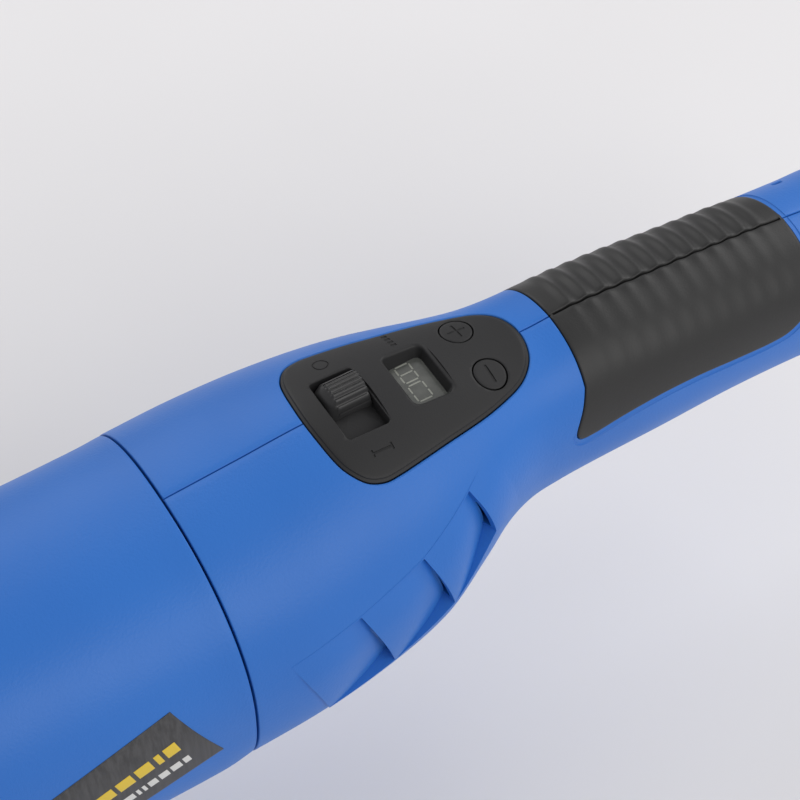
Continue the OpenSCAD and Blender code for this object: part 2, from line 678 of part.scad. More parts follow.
// air slots as [distance past the seam, height] of the upper end and of the lower end
louvres = [[31.5, 19, 40.8, -8], [50.5, 24.5, 59, 3], [70.6, 31.6, 76, 14.6]];
module vent_cuts() {
    for (v = louvres) {
        lean = atan2(v[2] - v[0], v[1] - v[3]);
        l = norm([v[2] - v[0], v[1] - v[3]]);
        for (side = [-1, 1]) translate([seam_x + v[0], side < 0 ? -60 : 10, axis_z + v[1]])
            rotate([0, 180 - lean, 0]) translate([0, 0, 1.5]) cube([3.2, 50, l - 3]);
    }
}
module handle_shell(side) {
    color(blue) difference() {
        intersection() {
            difference() {
                loft(handle_form, shell_stations, 0, 44, seam_x);
                difference() {
                    loft(handle_form, core_stations, shell_t, 36, seam_x);
                    for (b = boss_places) translate([seam_x + b[0], 0, axis_z + b[1]]) rotate([90, 0, 0])
                        cylinder(r = 4.6, h = 120, center = true);
                }
            }
            translate([0, side < 0 ? -100 : 0, 0]) cube([500, 100, 300]);
        }
        along_x(seam_x - 2) cylinder(r = 39.5, h = 8.5);
        translate([0, 0, tail_z]) along_x(seam_x + 216) cylinder(r = 8.1, h = 40);
        intersection() {
            grip_zone(0.05);
            difference() {
                loft(handle_form, [106, 150, 193], -6, 24, seam_x);
                loft(handle_form, grip_stations, grip_t, 40, seam_x);
            }
        }
        intersection() {
            panel_zone(seam_gap);
            translate([seam_x, -40, axis_z + 34]) cube([120, 80, 40]);
        }
        vent_cuts();
        for (b = boss_places) translate([seam_x + b[0], 0, axis_z + b[1]]) rotate([-90, 0, 0]) {
            translate([0, 0, side < 0 ? -11 : -1]) cylinder(r = side < 0 ? 1.7 : 2.1, h = 12);
            if (side > 0) translate([0, 0, 10]) cylinder(r = 3.8, h = 60);
        }
    }
}
module left_handle_shell() { handle_shell(-1); }
module right_handle_shell() { handle_shell(1); }
module handle_screws() {
    color(steel) for (b = boss_places) translate([seam_x + b[0], 10, axis_z + b[1]]) rotate([90, 0, 0])
        cap_screw(1.6, 19, 3.2, 2.6);
}

// ---- electrics in the handle ----
module power_module() {
    color(dark) translate([seam_x + 112, -12.6, axis_z - 3.6]) cube([48, 25.2, 13.6]);
}
module heat_sink() {
    color(alloy) difference() {
        translate([seam_x + 114, -11, axis_z + 10]) cube([44, 22, 9]);
        for (k = [0:4]) translate([seam_x + 110, -9 + 4 * k, axis_z + 12.6]) cube([60, 2, 10]);
    }
}
module noise_capacitor() {
    color([0.75, 0.65, 0.2]) translate([seam_x + 172, -4.5, axis_z - 4]) cube([20, 9, 16]);
}
module terminal_block() {
    color([0.8, 0.8, 0.78]) difference() {
        translate([seam_x + 195, -7, axis_z + 1]) cube([11, 14, 9]);
        for (side = [-1, 1]) translate([0, side * 3.4, 5]) along_x(seam_x + 190) cylinder(r = 1.6, h = 30);
    }
}
module cord_gland() {
    color(rubber) translate([0, 0, tail_z]) difference() {
        union() {
            along_x(seam_x + 222) cylinder(r = 8, h = 17);
            along_x(seam_x + tail_s) cylinder(r = 9.6, h = 4);
            along_x(seam_x + 223) cylinder(r = 9.8, h = 4);
        }
        along_x(seam_x + 200) cylinder(r = cord_r, h = 60);
    }
}
module cord_clamp() {
    color(dark) translate([seam_x + 213, -8, axis_z + tail_z + cord_r]) cube([5, 16, 3.4]);
}

// ---- badges ----
module badge(side) {
    color(dark) intersection() {
        difference() {
            loft(housing_form, housing_stations, -0.3, 64, seam_x);
            loft(housing_form, housing_stations, -0.02, 64, seam_x);
        }
        translate([seam_x, side < 0 ? -10 : 60, axis_z]) rotate([90, 0, 0]) linear_extrude(50)
            polygon([[-20.8, 19.3], [-9.6, -4.4], [-58, -19.5], [-74, 6.8]]);
    }
}
module left_badge() { badge(-1); }
module right_badge() { badge(1); }

motor_housing();
left_handle_shell();
right_handle_shell();
left_grip();
right_grip();
control_panel();
display_lens();
display_module();
control_board();
switch_body();
power_module();
heat_sink();
noise_capacitor();
terminal_block();
cord_gland();
cord_clamp();
handle_screws();
left_badge();
right_badge();
brush_frame();
brush_holders();
carbon_brushes();
brush_springs();
stator_core();
field_coils();
air_baffle();
front_motor_bearing();
rear_motor_bearing();
bearing_bush();
motor_bearing_plate();
gear_head();
head_cover();
housing_screws();
bearing_flange();
flange_screws();
spindle_bearings();
dust_seal();
shroud();
armature_shaft();
bevel_pinion();
armature_core();
armature_winding();
commutator();
cooling_fan();
motor_bearing_inners();
drive_spindle();
crown_gear();
counterweight();
spindle_bearing_inners();
eccentric_bearings();
pad_spindle();
spindle_clip();
eccentric_bearing_inners();
pad_bolt();
backing_plate();
plate_cushion();
hook_face();
power_slider();
plus_button();
minus_button();
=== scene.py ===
"""Looks of the dual action polisher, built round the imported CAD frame. Lengths in the tables are millimetres."""
import json
import math

import bmesh
import bpy
import numpy as np
from mathutils import Matrix, Vector


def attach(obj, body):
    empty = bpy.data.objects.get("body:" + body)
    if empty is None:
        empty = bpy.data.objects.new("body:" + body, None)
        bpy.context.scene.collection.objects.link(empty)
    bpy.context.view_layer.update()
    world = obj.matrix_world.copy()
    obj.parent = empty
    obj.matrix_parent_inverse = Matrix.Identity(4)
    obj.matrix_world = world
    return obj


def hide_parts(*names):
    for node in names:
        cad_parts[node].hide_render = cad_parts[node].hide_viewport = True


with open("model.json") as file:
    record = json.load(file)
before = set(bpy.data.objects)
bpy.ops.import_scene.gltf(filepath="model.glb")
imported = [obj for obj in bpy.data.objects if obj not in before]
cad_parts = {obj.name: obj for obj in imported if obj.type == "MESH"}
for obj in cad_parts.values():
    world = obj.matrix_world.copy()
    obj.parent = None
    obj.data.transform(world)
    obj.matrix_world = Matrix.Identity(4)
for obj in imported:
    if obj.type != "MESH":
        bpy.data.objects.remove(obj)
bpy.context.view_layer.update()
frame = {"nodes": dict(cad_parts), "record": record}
MM = 0.001
record = frame["record"]

# ---------------------------------------------------------------- driving dimensions
AXIS_Z = 88.0          # motor axis above the pad face
SEAM_X = 150.0         # drive axis to the seam between motor housing and handle
THROW = 7.5            # pad axis from drive axis
PANEL_PROUD = 0.45     # control panel over the handle's skin

# rows of [distance, half width, top, bottom, widest height, outline power], from the motor axis. A seventh value is
# the power of the lower half
HANDLE = np.array([
    [0, 43.6, 43.3, -43.2, 0.0, 2.25], [20, 44.2, 44.9, -42.6, 2.0, 2.12],
    [40, 42.9, 46.6, -40.5, 3.0, 2.05], [60, 39.8, 46.0, -34.0, 5.8, 2.0],
    [75, 33.8, 44.5, -24.0, 11.0, 2.05], [86, 28.2, 43.0, -17.0, 14.0, 2.25],
    [96, 24.8, 41.8, -13.6, 14.8, 2.4], [106, 23.8, 41.4, -12.6, 14.4, 2.4],
    [118, 23.6, 42.1, -12.6, 14.2, 2.32], [140, 23.7, 40.5, -12.7, 14.2, 2.25],
    [165, 23.2, 38.3, -13.2, 13.1, 2.15], [190, 22.8, 35.5, -14.4, 10.8, 2.2],
    [205, 23.2, 33.2, -15.6, 9.2, 2.25], [222, 23.8, 30.4, -16.4, 7.4, 2.3],
    [230, 21.5, 27.4, -14.6, 6.6, 2.2], [235, 15.5, 20.8, -8.6, 6.2, 2.1]])
HOUSING = np.array([
    [-96, 43.0, 43.0, -43.0, 0, 2.2, 2.5], [-80, 42.8, 42.8, -42.8, 0, 2.25, 2.7],
    [-35, 42.6, 42.6, -42.6, 0, 2.25, 2.75], [-8, 43.1, 42.9, -42.9, 0, 2.25, 2.6],
    [0, 43.6, 43.3, -43.2, 0, 2.25, 2.25]])
COVER = np.array([
    [-51.6, 5, 8, -4, 2.4, 2.0], [-50.8, 13, 15.5, -8.5, 2.2, 2.05], [-49, 20.5, 21.5, -13, 2, 2.1],
    [-44, 31, 29, -18, 1, 2.15],
    [-34, 39.5, 36.5, -20, 0, 2.2], [-18, 45, 41.5, -22, 0, 2.25], [0, 46.5, 43.6, -30, 0, 2.25],
    [22, 45.5, 44.4, -40, 0, 2.25], [44, 44.2, 44.0, -43.6, 0, 2.25]])


# ---------------------------------------------------------------- skins
def smooth(form, column, s):
    """The form's value at s: a cubic through its rows, with the slopes part.scad uses."""
    x, v = form[:, 0], form[:, column]
    slope = np.empty_like(v)
    slope[1:-1] = (v[2:] - v[:-2]) / (x[2:] - x[:-2])
    slope[0], slope[-1] = (v[1] - v[0]) / (x[1] - x[0]), (v[-1] - v[-2]) / (x[-1] - x[-2])
    i = np.clip(np.searchsorted(x, s, side="right") - 1, 0, len(x) - 2)
    h = x[i + 1] - x[i]
    u = np.clip((s - x[i]) / h, 0, 1)
    return ((2 * u**3 - 3 * u**2 + 1) * v[i] + (u**3 - 2 * u**2 + u) * h * slope[i]
            + (3 * u**2 - 2 * u**3) * v[i + 1] + (u**3 - u**2) * h * slope[i + 1])


class Skin:
    """A lofted surface. A point is (s, a): distance along it and angle round it, 90 at the top, 180 at -Y."""

    def __init__(self, form, x0):
        self.form, self.x0 = form, x0

    def at(self, s, a, depth=0.0):
        """Points in mm at (s, a), moved inwards along the normal by depth."""
        s, a = np.broadcast_arrays(np.asarray(s, float), np.asarray(a, float))
        e = 0.05
        p = self._raw(s, a)
        ds = self._raw(s + e, a) - self._raw(s - e, a)
        da = self._raw(s, a + e) - self._raw(s, a - e)
        n = np.cross(ds, da)
        n /= np.linalg.norm(n, axis=-1, keepdims=True) + 1e-12
        return p + np.asarray(depth, float)[..., None] * n

    def _raw(self, s, a):
        w, top, low, mid, above = (smooth(self.form, c, s) for c in range(1, 6))
        r = np.radians(a)
        p = np.where(np.sin(r) > 0, above, smooth(self.form, self.form.shape[1] - 1, s))
        bend = lambda v: np.sign(v) * np.abs(v) ** (2 / p)
        h = np.where(np.sin(r) > 0, top - mid, mid - low)
        return np.stack([self.x0 + s, w * bend(np.cos(r)), AXIS_Z + mid + h * bend(np.sin(r))], -1)

    def angle_y(self, s, y):
        """Angle of the point at y on the upper side."""
        w, p = smooth(self.form, 1, s), smooth(self.form, 5, s)
        c = np.clip(np.abs(y) / w, 0, 1) ** (p / 2)
        return np.where(y > 0, np.degrees(np.arccos(c)), 180 - np.degrees(np.arccos(c)))

    def angle_z(self, s, z, side=-1):
        """Angle of the point at height z, from the motor axis, on one side."""
        top, low, mid, above, below = (smooth(self.form, c, s) for c in (2, 3, 4, 5, self.form.shape[1] - 1))
        h, p = np.where(z > mid, top - mid, mid - low), np.where(z > mid, above, below)
        v = np.degrees(np.arcsin(np.clip(np.abs(z - mid) / h, 0, 1) ** (p / 2))) * np.sign(z - mid)
        return 180 - v if side < 0 else v

    def top(self, s, y, depth=0.0):
        return self.at(s, self.angle_y(np.asarray(s, float), np.asarray(y, float)), depth)

    def flank(self, s, z, depth=0.0, side=-1):
        return self.at(s, self.angle_z(np.asarray(s, float), np.asarray(z, float), side), depth)


handle = Skin(HANDLE, SEAM_X)
housing = Skin(HOUSING, SEAM_X)
cover = Skin(COVER, 0.0)


# ---------------------------------------------------------------- mesh helpers
def new_object(name, verts, faces, merge=1e-7):
    """A mesh object from points in mm, welded, with its normals outwards."""
    mesh = bpy.data.meshes.new(name)
    mesh.from_pydata([tuple(v) for v in np.asarray(verts) * MM], [], faces)
    bm = bmesh.new()
    bm.from_mesh(mesh)
    bmesh.ops.remove_doubles(bm, verts=bm.verts, dist=merge)
    bmesh.ops.dissolve_degenerate(bm, edges=bm.edges, dist=merge)
    bmesh.ops.recalc_face_normals(bm, faces=bm.faces)
    bm.to_mesh(mesh)
    bm.free()
    obj = bpy.data.objects.new(name, mesh)
    bpy.context.scene.collection.objects.link(obj)
    return obj


def grid_faces(rows, columns, start=0, closed=False):
    """Quads of a grid of points, rows by columns, wrapping round the columns if closed."""
    last = columns if closed else columns - 1
    return [(start + i * columns + j, start + i * columns + (j + 1) % columns,
             start + (i + 1) * columns + (j + 1) % columns, start + (i + 1) * columns + j)
            for i in range(rows - 1) for j in range(last)]


def tube(name, grid, cap=True):
    """A closed solid from rings of points, (rings, points, 3), with flat or collapsed ends."""
    rings, count = grid.shape[:2]
    faces = grid_faces(rings, count, closed=True)
    if cap:
        faces += [tuple(range(count)), tuple((rings - 1) * count + k for k in range(count))]
    return new_object(name, grid.reshape(-1, 3), faces)


def plate(name, outer, inner):
    """A closed solid between two grids of points of the same size."""
    rows, columns = outer.shape[:2]
    n = rows * columns
    faces = grid_faces(rows, columns) + grid_faces(rows, columns, n)
    edge = ([(0, j) for j in range(columns)] + [(i, columns - 1) for i in range(1, rows)]
            + [(rows - 1, j) for j in range(columns - 2, -1, -1)] + [(i, 0) for i in range(rows - 2, 0, -1)])
    ids = [i * columns + j for i, j in edge]
    faces += [(a, b, n + b, n + a) for a, b in zip(ids, ids[1:] + ids[:1])]
    return new_object(name, np.concatenate([outer.reshape(-1, 3), inner.reshape(-1, 3)]), faces)


def turns(n):
    """n angles round a full turn, in radians."""
    return np.arange(n) * 2 * math.pi / n


def spun(name, profile, centre=(0, 0), steps=192):
    """A solid of revolution about the vertical through centre, from a closed (radius, height) profile."""
    angles = turns(steps)
    grid = np.array([np.stack([centre[0] + r * np.cos(angles), centre[1] + r * np.sin(angles),
                               np.full(steps, float(z))], -1) for r, z in profile + profile[:1]])
    return tube(name, grid, cap=False)


def carve(obj, *cutters, join=False):
    """Cuts the cutters out of obj, or joins them to it, for good."""
    for cutter in cutters:
        mod = obj.modifiers.new("cut", "BOOLEAN")
        mod.operation = "UNION" if join else "DIFFERENCE"
        mod.solver = "EXACT"
        mod.object = cutter
        graph = bpy.context.evaluated_depsgraph_get()
        mesh = bpy.data.meshes.new_from_object(obj.evaluated_get(graph))
        obj.modifiers.clear()
        old, obj.data = obj.data, mesh
        bpy.data.meshes.remove(old)
        bpy.data.objects.remove(cutter)
    return obj


def polish(obj, angle=32):
    """Smooth shading that keeps edges sharper than the angle."""
    obj.data.polygons.foreach_set("use_smooth", [True] * len(obj.data.polygons))
    obj.data.set_sharp_from_angle(angle=math.radians(angle))
    return obj


def curve_through(points, per=8, closed=True):
    """A smooth curve through the points, with per steps between two."""
    p = np.asarray(points, float)
    n = len(p)
    out = []
    for i in range(n if closed else n - 1):
        pick = [(i - 1) % n, i, (i + 1) % n, (i + 2) % n] if closed else \
            [max(i - 1, 0), i, i + 1, min(i + 2, n - 1)]
        a, b, c, d = p[pick]
        for u in np.arange(per) / per:
            out.append(0.5 * (2 * b + (c - a) * u + (2 * a - 5 * b + 4 * c - d) * u**2
                              + (3 * b - a - 3 * c + d) * u**3))
    if not closed:
        out.append(p[-1])
    return np.array(out)


def rounded_box(s0, s1, y0, y1, r, per=8):
    """A closed outline of a rectangle with rounded corners."""
    out = []
    for cs, cy, start in ((s1 - r, y1 - r, 0), (s0 + r, y1 - r, 90), (s0 + r, y0 + r, 180), (s1 - r, y0 + r, 270)):
        for k in range(per + 1):
            t = math.radians(start + 90 * k / per)
            out.append((cs + r * math.cos(t), cy + r * math.sin(t)))
    return np.array(out)


def polyline(corners, step=1.5):
    """A closed outline through the corners with a point every step."""
    out = []
    for a, b in zip(corners, corners[1:] + corners[:1]):
        n = max(2, int(math.dist(a, b) / step))
        out += [(a[0] + (b[0] - a[0]) * k / n, a[1] + (b[1] - a[1]) * k / n) for k in range(n)]
    return np.array(out)


def circle(cs, cy, r, n=48):
    t = turns(n)
    return np.stack([cs + r * np.cos(t), cy + r * np.sin(t)], -1)


def offset(outline, o):
    """The outline moved outwards by o. It runs counter-clockwise."""
    ahead, behind = np.roll(outline, -1, 0), np.roll(outline, 1, 0)
    t = ahead - behind
    n = np.stack([t[:, 1], -t[:, 0]], -1)
    return outline + o * n / (np.linalg.norm(n, axis=1, keepdims=True) + 1e-9)


def stack(name, outline, levels, place, spine=None, inner=7, mid=None):
    """A solid from one outline at several (offset, depth) levels, first the outer end. place(s, t, depth)
    gives points. Each end is closed by rings that shrink to the spine, a stretch of the first coordinate."""
    x, y = outline[:, 0], outline[:, 1]
    if np.sum(x * np.roll(y, -1) - np.roll(x, -1) * y) < 0:
        outline = outline[::-1]
    lo, hi = spine if spine else (x.mean(),) * 2
    if mid is None:
        mid = 0.0 if spine else y.mean()
    rings = []

    def ring(flat, depth):
        rings.append(place(flat[:, 0], flat[:, 1], np.full(len(flat), float(depth))))

    def to_spine(flat, u):
        foot = np.stack([np.clip(flat[:, 0], lo, hi), np.full(len(flat), mid)], -1)
        return flat * (1 - u) + foot * u

    first, last = offset(outline, levels[0][0]), offset(outline, levels[-1][0])
    for k in range(inner, 0, -1):
        ring(to_spine(first, k / inner), levels[0][1])
    for o, depth in levels:
        ring(offset(outline, o), depth)
    for k in range(1, inner + 1):
        ring(to_spine(last, k / inner), levels[-1][1])
    return tube(name, np.array(rings), cap=False)


def rounding(distance, r):
    """How far an edge rounded with radius r has dropped at that distance from the edge."""
    d = np.clip(r - distance, 0, r)
    return r - np.sqrt(np.maximum(r * r - d * d, 0))


def near_edges(a, b, n, r=0.6, extra=(0, 0.04, 0.12, 0.25, 0.42, 0.7, 1.0)):
    """Stations from a to b with more of them close to both ends, for rounded edges."""
    e = np.array(extra) * r
    inside = np.linspace(a + r, b - r, n)[1:-1]
    return np.concatenate([a + e, inside, (b - e)[::-1]])


# ---------------------------------------------------------------- materials
def material(name, build, **values):
    """A node material. build(nodes, links, bsdf) adds to it; values go straight on the shader's sockets."""
    mat = bpy.data.materials.new(name)
    mat.use_nodes = True
    nodes, links = mat.node_tree.nodes, mat.node_tree.links
    bsdf = nodes["Principled BSDF"]
    for key, value in values.items():
        socket = bsdf.inputs[key.replace("_", " ")]
        socket.default_value = (*value, 1.0) if isinstance(value, tuple) and len(value) == 3 else value
    if build:
        build(nodes, links, bsdf)
    return mat


def node(nodes, kind, **settings):
    """A shader node with values on its sockets, or on itself where it has no such socket."""
    n = nodes.new(kind)
    for key, value in settings.items():
        if key in n.inputs:
            n.inputs[key].default_value = value
        else:
            setattr(n, key, value)
    return n


def noise(nodes, links, scale, detail=3.0, rough=0.5, stretch=(1, 1, 1)):
    """Noise in the object's own coordinates."""
    coord = nodes.new("ShaderNodeTexCoord")
    mapping = nodes.new("ShaderNodeMapping")
    mapping.inputs["Scale"].default_value = stretch
    tex = node(nodes, "ShaderNodeTexNoise", Scale=scale, Detail=detail, Roughness=rough)
    links.new(coord.outputs["Object"], mapping.inputs["Vector"])
    links.new(mapping.outputs["Vector"], tex.inputs["Vector"])
    return tex


def bump(nodes, links, bsdf, height, strength, distance):
    b = node(nodes, "ShaderNodeBump", Strength=strength, Distance=distance)
    links.new(height, b.inputs["Height"])
    links.new(b.outputs["Normal"], bsdf.inputs["Normal"])


def mix_colour(nodes, links, fac, a, b, target):
    ramp = nodes.new("ShaderNodeValToRGB")
    ramp.color_ramp.elements[0].position, ramp.color_ramp.elements[1].position = 0.35, 0.65
    ramp.color_ramp.elements[0].color, ramp.color_ramp.elements[1].color = (*a, 1), (*b, 1)
    links.new(fac, ramp.inputs["Fac"])
    links.new(ramp.outputs["Color"], target)


def spread(nodes, links, fac, low, high, target):
    """Maps a 0 to 1 value to low to high and links it."""
    m = node(nodes, "ShaderNodeMapRange")
    m.inputs["To Min"].default_value, m.inputs["To Max"].default_value = low, high
    links.new(fac, m.inputs["Value"])
    links.new(m.outputs["Result"], target)


def moulded(light, darker, rough, grain, depth, smudge=0.06):
    """Moulded plastic: spark-eroded grain, slow colour drift and a patchy gloss."""
    def build(nodes, links, bsdf):
        slow = noise(nodes, links, 14, 2)
        mix_colour(nodes, links, slow.outputs["Fac"], darker, light, bsdf.inputs["Base Color"])
        fine = noise(nodes, links, grain, 2, 0.6)
        patch = noise(nodes, links, 60, 4)
        spread(nodes, links, patch.outputs["Fac"], rough - smudge, rough + smudge, bsdf.inputs["Roughness"])
        bump(nodes, links, bsdf, fine.outputs["Fac"], 0.35, depth)
    return build


BLUE = material("blue_plastic", moulded((0.027, 0.166, 0.575), (0.023, 0.150, 0.535), 0.44, 1300, 0.00020),
                Specular_IOR_Level=0.36)
PANEL = material("panel_plastic", moulded((0.019, 0.019, 0.020), (0.016, 0.016, 0.017), 0.52, 2200, 0.00007),
                 Specular_IOR_Level=0.32)
RUBBER = material("grip_rubber", moulded((0.025, 0.025, 0.025), (0.020, 0.020, 0.020), 0.45, 1500, 0.0001),
                  Specular_IOR_Level=0.36)
COVER_RUBBER = material("cover_rubber", moulded((0.028, 0.028, 0.029), (0.022, 0.022, 0.023), 0.62, 1100, 0.00012))
KNOB = material("knob_plastic", moulded((0.027, 0.027, 0.028), (0.022, 0.022, 0.023), 0.40, 2600, 0.00005))


# ---------------------------------------------------------------- camera
camera_data = bpy.data.cameras.new("camera")
camera_data.lens, camera_data.sensor_width = 92.66, 36.0
camera_data.clip_end = 20
camera = bpy.data.objects.new("camera", camera_data)
bpy.context.scene.collection.objects.link(camera)
AZIMUTH, ELEVATION, ROLL = (math.radians(v) for v in (-33.33, 52.87, 1.78))
back = Vector((math.sin(AZIMUTH) * math.cos(ELEVATION), -math.cos(AZIMUTH) * math.cos(ELEVATION),
               math.sin(ELEVATION)))
right = Vector((0, 0, 1)).cross(back).normalized()
up = back.cross(right)
rolled_right = right * math.cos(ROLL) + up * math.sin(ROLL)
rolled_up = up * math.cos(ROLL) - right * math.sin(ROLL)
turn = Matrix((rolled_right, rolled_up, back)).transposed().to_4x4()
place_mm = Vector((SEAM_X - 105.89, -263.89, AXIS_Z + 453.91))
camera.matrix_world = Matrix.Translation(place_mm * MM) @ turn
bpy.context.scene.camera = camera
bpy.context.view_layer.update()


def add(name, obj, body, slot, *nodes):
    """Names a finished piece, hangs it on its body's empty and hides the CAD nodes it stands for. The slot is not
    used.
    """
    obj.name = name
    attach(obj, body)
    if nodes:
        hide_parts(*nodes)


def dress(obj, mat):
    obj.data.materials.clear()
    obj.data.materials.append(mat)
    return obj


# ---------------------------------------------------------------- handle shells
SEAM_GAP = 0.3         # from the seam's plane to the shells
SEAM_HALF = 0.17       # half the gap along the clamshell's parting line
MEAN_R = 32.0          # radius that turns angles round the shells into lengths at their edges
EDGE = 0.35            # radius on the shells' edges
SHELL_T = 4.4          # wall of the shells
TAIL_END = 235.0       # end of the shells, past the seam
TAIL_WALL = 227.0      # the shells are solid up to the gland's bore from here on
GLAND_Z = AXIS_Z + 6.3
BORE_R = 8.15          # bore in the shells' end round the cord gland

# half outline of the control panel: distance past the seam, half width
PANEL_HALF = [(39.3, 0), (39.6, 6), (40.4, 12), (41.9, 16.4), (45.2, 20.4), (49.5, 22.0), (54, 21.9), (62, 20.8),
              (71, 19.3), (81.7, 17.5), (90, 15.4), (95.6, 13.4), (99.2, 11.0), (101.8, 7.9), (103.3, 4.0), (103.8, 0)]
panel_line = curve_through([(s, y) for s, y in PANEL_HALF]
                           + [(s, -y) for s, y in PANEL_HALF[-2:0:-1]], 6)[::-1]
PANEL_SPINE = (60, 84)

# louvres: slanted edges, each from its upper to its lower end, in distance past the seam and height. The
# scales stand BAND_PROUD out of the skin at the front edge and dip under the next edge.
LOUVRES = [((10.9, 15.2), (20.7, -12.5)), ((31.5, 19.2), (40.5, -6.6)), ((52.1, 23.9), (59.7, 1.9)),
           ((69.9, 30.6), (75.8, 14.0))]
BAND_END = ((82.5, 35.6), (91.0, 9.6))
BAND_PROUD = 0.75
LOUVRE_DEPTH = 3.4
LIP = 0.8              # thickness of an overhanging edge
BOW = 0.6              # how far a slanted edge bulges to the rear


def between(front, rear, u, v):
    """Distance and height at (u, v): u from the front edge to the rear one, v from the upper end down."""
    (sa, za), (sb, zb), (sc, zc), (sd, zd) = *front, *rear
    s = (sa + (sc - sa) * u) * (1 - v) + (sb + (sd - sb) * u) * v + BOW * np.sin(np.pi * np.clip(v, 0, 1))
    z = (za + (zc - za) * u) * (1 - v) + (zb + (zd - zb) * u) * v
    return s, z


def band_rise(v):
    """How far the band stands out of the skin: hardly at its upper edge, fully from a third of the way down."""
    t = np.clip(v / 0.35, 0, 1)
    return BAND_PROUD * (0.28 + 0.72 * t * t * (3 - 2 * t))


def scale_floor(u, v):
    """Depth of a scale's surface under the skin: it dips to the rear and most at its lower end."""
    u, v = np.clip(u, 0, 1), np.clip(v, 0, 1)
    dip = u ** (1.3 + 2.7 * (1 - v) ** 2) * (0.3 + 0.7 * v ** 0.8)
    return (LOUVRE_DEPTH + BAND_PROUD) * dip - band_rise(v)


def louvre_band(side):
    """The raised band that the scales are cut from; its rear end sinks into the skin."""
    edges = LOUVRES + [BAND_END]
    v = np.linspace(-0.014, 1.03, 40)[None, :]
    outer, inner = [], []
    for k, (front, rear) in enumerate(zip(edges, edges[1:])):
        u = np.linspace(0, 1, 25)[:, None][0 if k == 0 else 1:]
        s, z = between(front, rear, u, v)
        last = k == len(edges) - 2
        rise = band_rise(v) * np.ones_like(u)
        if last:
            rise = rise - (rise + 0.15) * u ** 1.5
        outer.append(handle.flank(s, z, -rise, side))
        inner.append(handle.flank(s, z, np.full(s.shape, 1.6), side))
    return plate("band", np.concatenate(outer), np.concatenate(inner))


def louvre_cutter(front, rear, side):
    """The pocket over one scale."""
    u = np.concatenate([[-0.02, 0.0], np.linspace(0, 1, 25)[1:]])[:, None]
    v = np.linspace(0, 1, 30)[None, :]
    s, z = between(front, rear, u, v)
    floor_ = handle.flank(s, z, scale_floor(u, v) - 0.02, side)
    roof = handle.flank(s, z, np.full(s.shape, -3.0), side)
    return plate("cutter", roof, floor_)


def louvre_slot(edge, side):
    """The opening under an overhanging edge: a gap between the lip and the scale's floor, and a hole behind it."""
    v = np.linspace(0.26, 0.93, 24)[None, :]
    ahead = np.array([-0.6, -0.2, 0.2, 0.3, 0.8, 1.4, 2.0, 2.6])[:, None]
    (sa, za), (sb, zb) = edge
    s, z = sa + (sb - sa) * v + BOW * np.sin(np.pi * v) + ahead, za + (zb - za) * v + 0 * ahead
    low = np.where(ahead > 0.25, SHELL_T + 1.5, scale_floor(1.0, v) - 0.01)
    roof = handle.flank(s, z, np.minimum(LIP, scale_floor(1.0, v) - 0.04) + 0 * ahead, side)
    return plate("cutter", roof, handle.flank(s, z, low, side))


def shell_half(side):
    """One half of the clamshell, with rounded edges and a solid end round the gland's bore; the loop below cuts it for
    the panel, the grip and the louvres.
    """
    s = near_edges(SEAM_GAP, TAIL_END, 150, EDGE)
    a = near_edges(0, 180, 96, 0.45)
    angle = 90 + a if side < 0 else 90 - a
    es = np.minimum(s - SEAM_GAP, TAIL_END - s)[:, None]
    ea = (np.radians(np.minimum(a, 180 - a)) * MEAN_R)[None, :]
    drop = EDGE - np.sqrt(np.maximum(EDGE**2 - np.clip(EDGE - es, 0, EDGE)**2 - np.clip(EDGE - ea, 0, EDGE)**2, 0))
    S, A = np.meshgrid(s, angle, indexing="ij")
    outer = handle.at(S, A, drop)
    inner = handle.at(S, A, np.full(S.shape, SHELL_T))
    bore = np.stack([SEAM_X + S, BORE_R * np.cos(np.radians(A)), GLAND_Z + BORE_R * np.sin(np.radians(A))], -1)
    inner = np.where((S > TAIL_WALL)[..., None], bore, inner)
    for g in (outer, inner):
        g[..., 1] += side * SEAM_HALF
    return plate("shell", outer, inner)


def panel_pocket():
    return stack("cutter", panel_line, [(0.75, -2.0), (0.5, -0.25), (0.28, 0.0), (0.1, 0.08), (0.02, 0.22),
                                        (0.0, 0.45), (0.0, 5.5)], handle.top, PANEL_SPINE)


# ---------------------------------------------------------------- grips
DEG_MM = 0.47          # length of a degree round the grip, near enough
# one side of a grip's edge: front edge from the top down, lower edge, rear edge up, as (s, z)
GRIP_EDGE = [(112.4, 33), (110.6, 28), (109.2, 24.5), (108.3, 21.6), (108.5, 19.0), (110.3, 17.4), (114.5, 17.3),
             (124, 18.6), (136, 19.5), (148, 19.0), (162, 17.2), (174, 16.0), (180.5, 16.6), (185.8, 20.0),
             (189.2, 25.5), (190.4, 31)]


def grip_half_edge():
    """The grip's edge on one side as (s, mm down from the top), from the top front to the top rear."""
    pts = curve_through(GRIP_EDGE, 6, closed=False)
    down = (handle.angle_z(pts[:, 0], pts[:, 1], -1) - 90) * DEG_MM
    front, rear = [(113.2, 0.0), (113.0, 4.5)], [(191.1, 4.5), (191.3, 0.0)]
    first, last = (pts[0, 0], down[0]), (pts[-1, 0], down[-1])
    lead = curve_through(front + [first], 8, closed=False)[:-1]
    tail = curve_through([last] + rear, 8, closed=False)[1:]
    return np.concatenate([lead, np.stack([pts[:, 0], down], -1), tail])


def grip_place(s, t, depth):
    return handle.at(s, 90 - t / DEG_MM, depth)


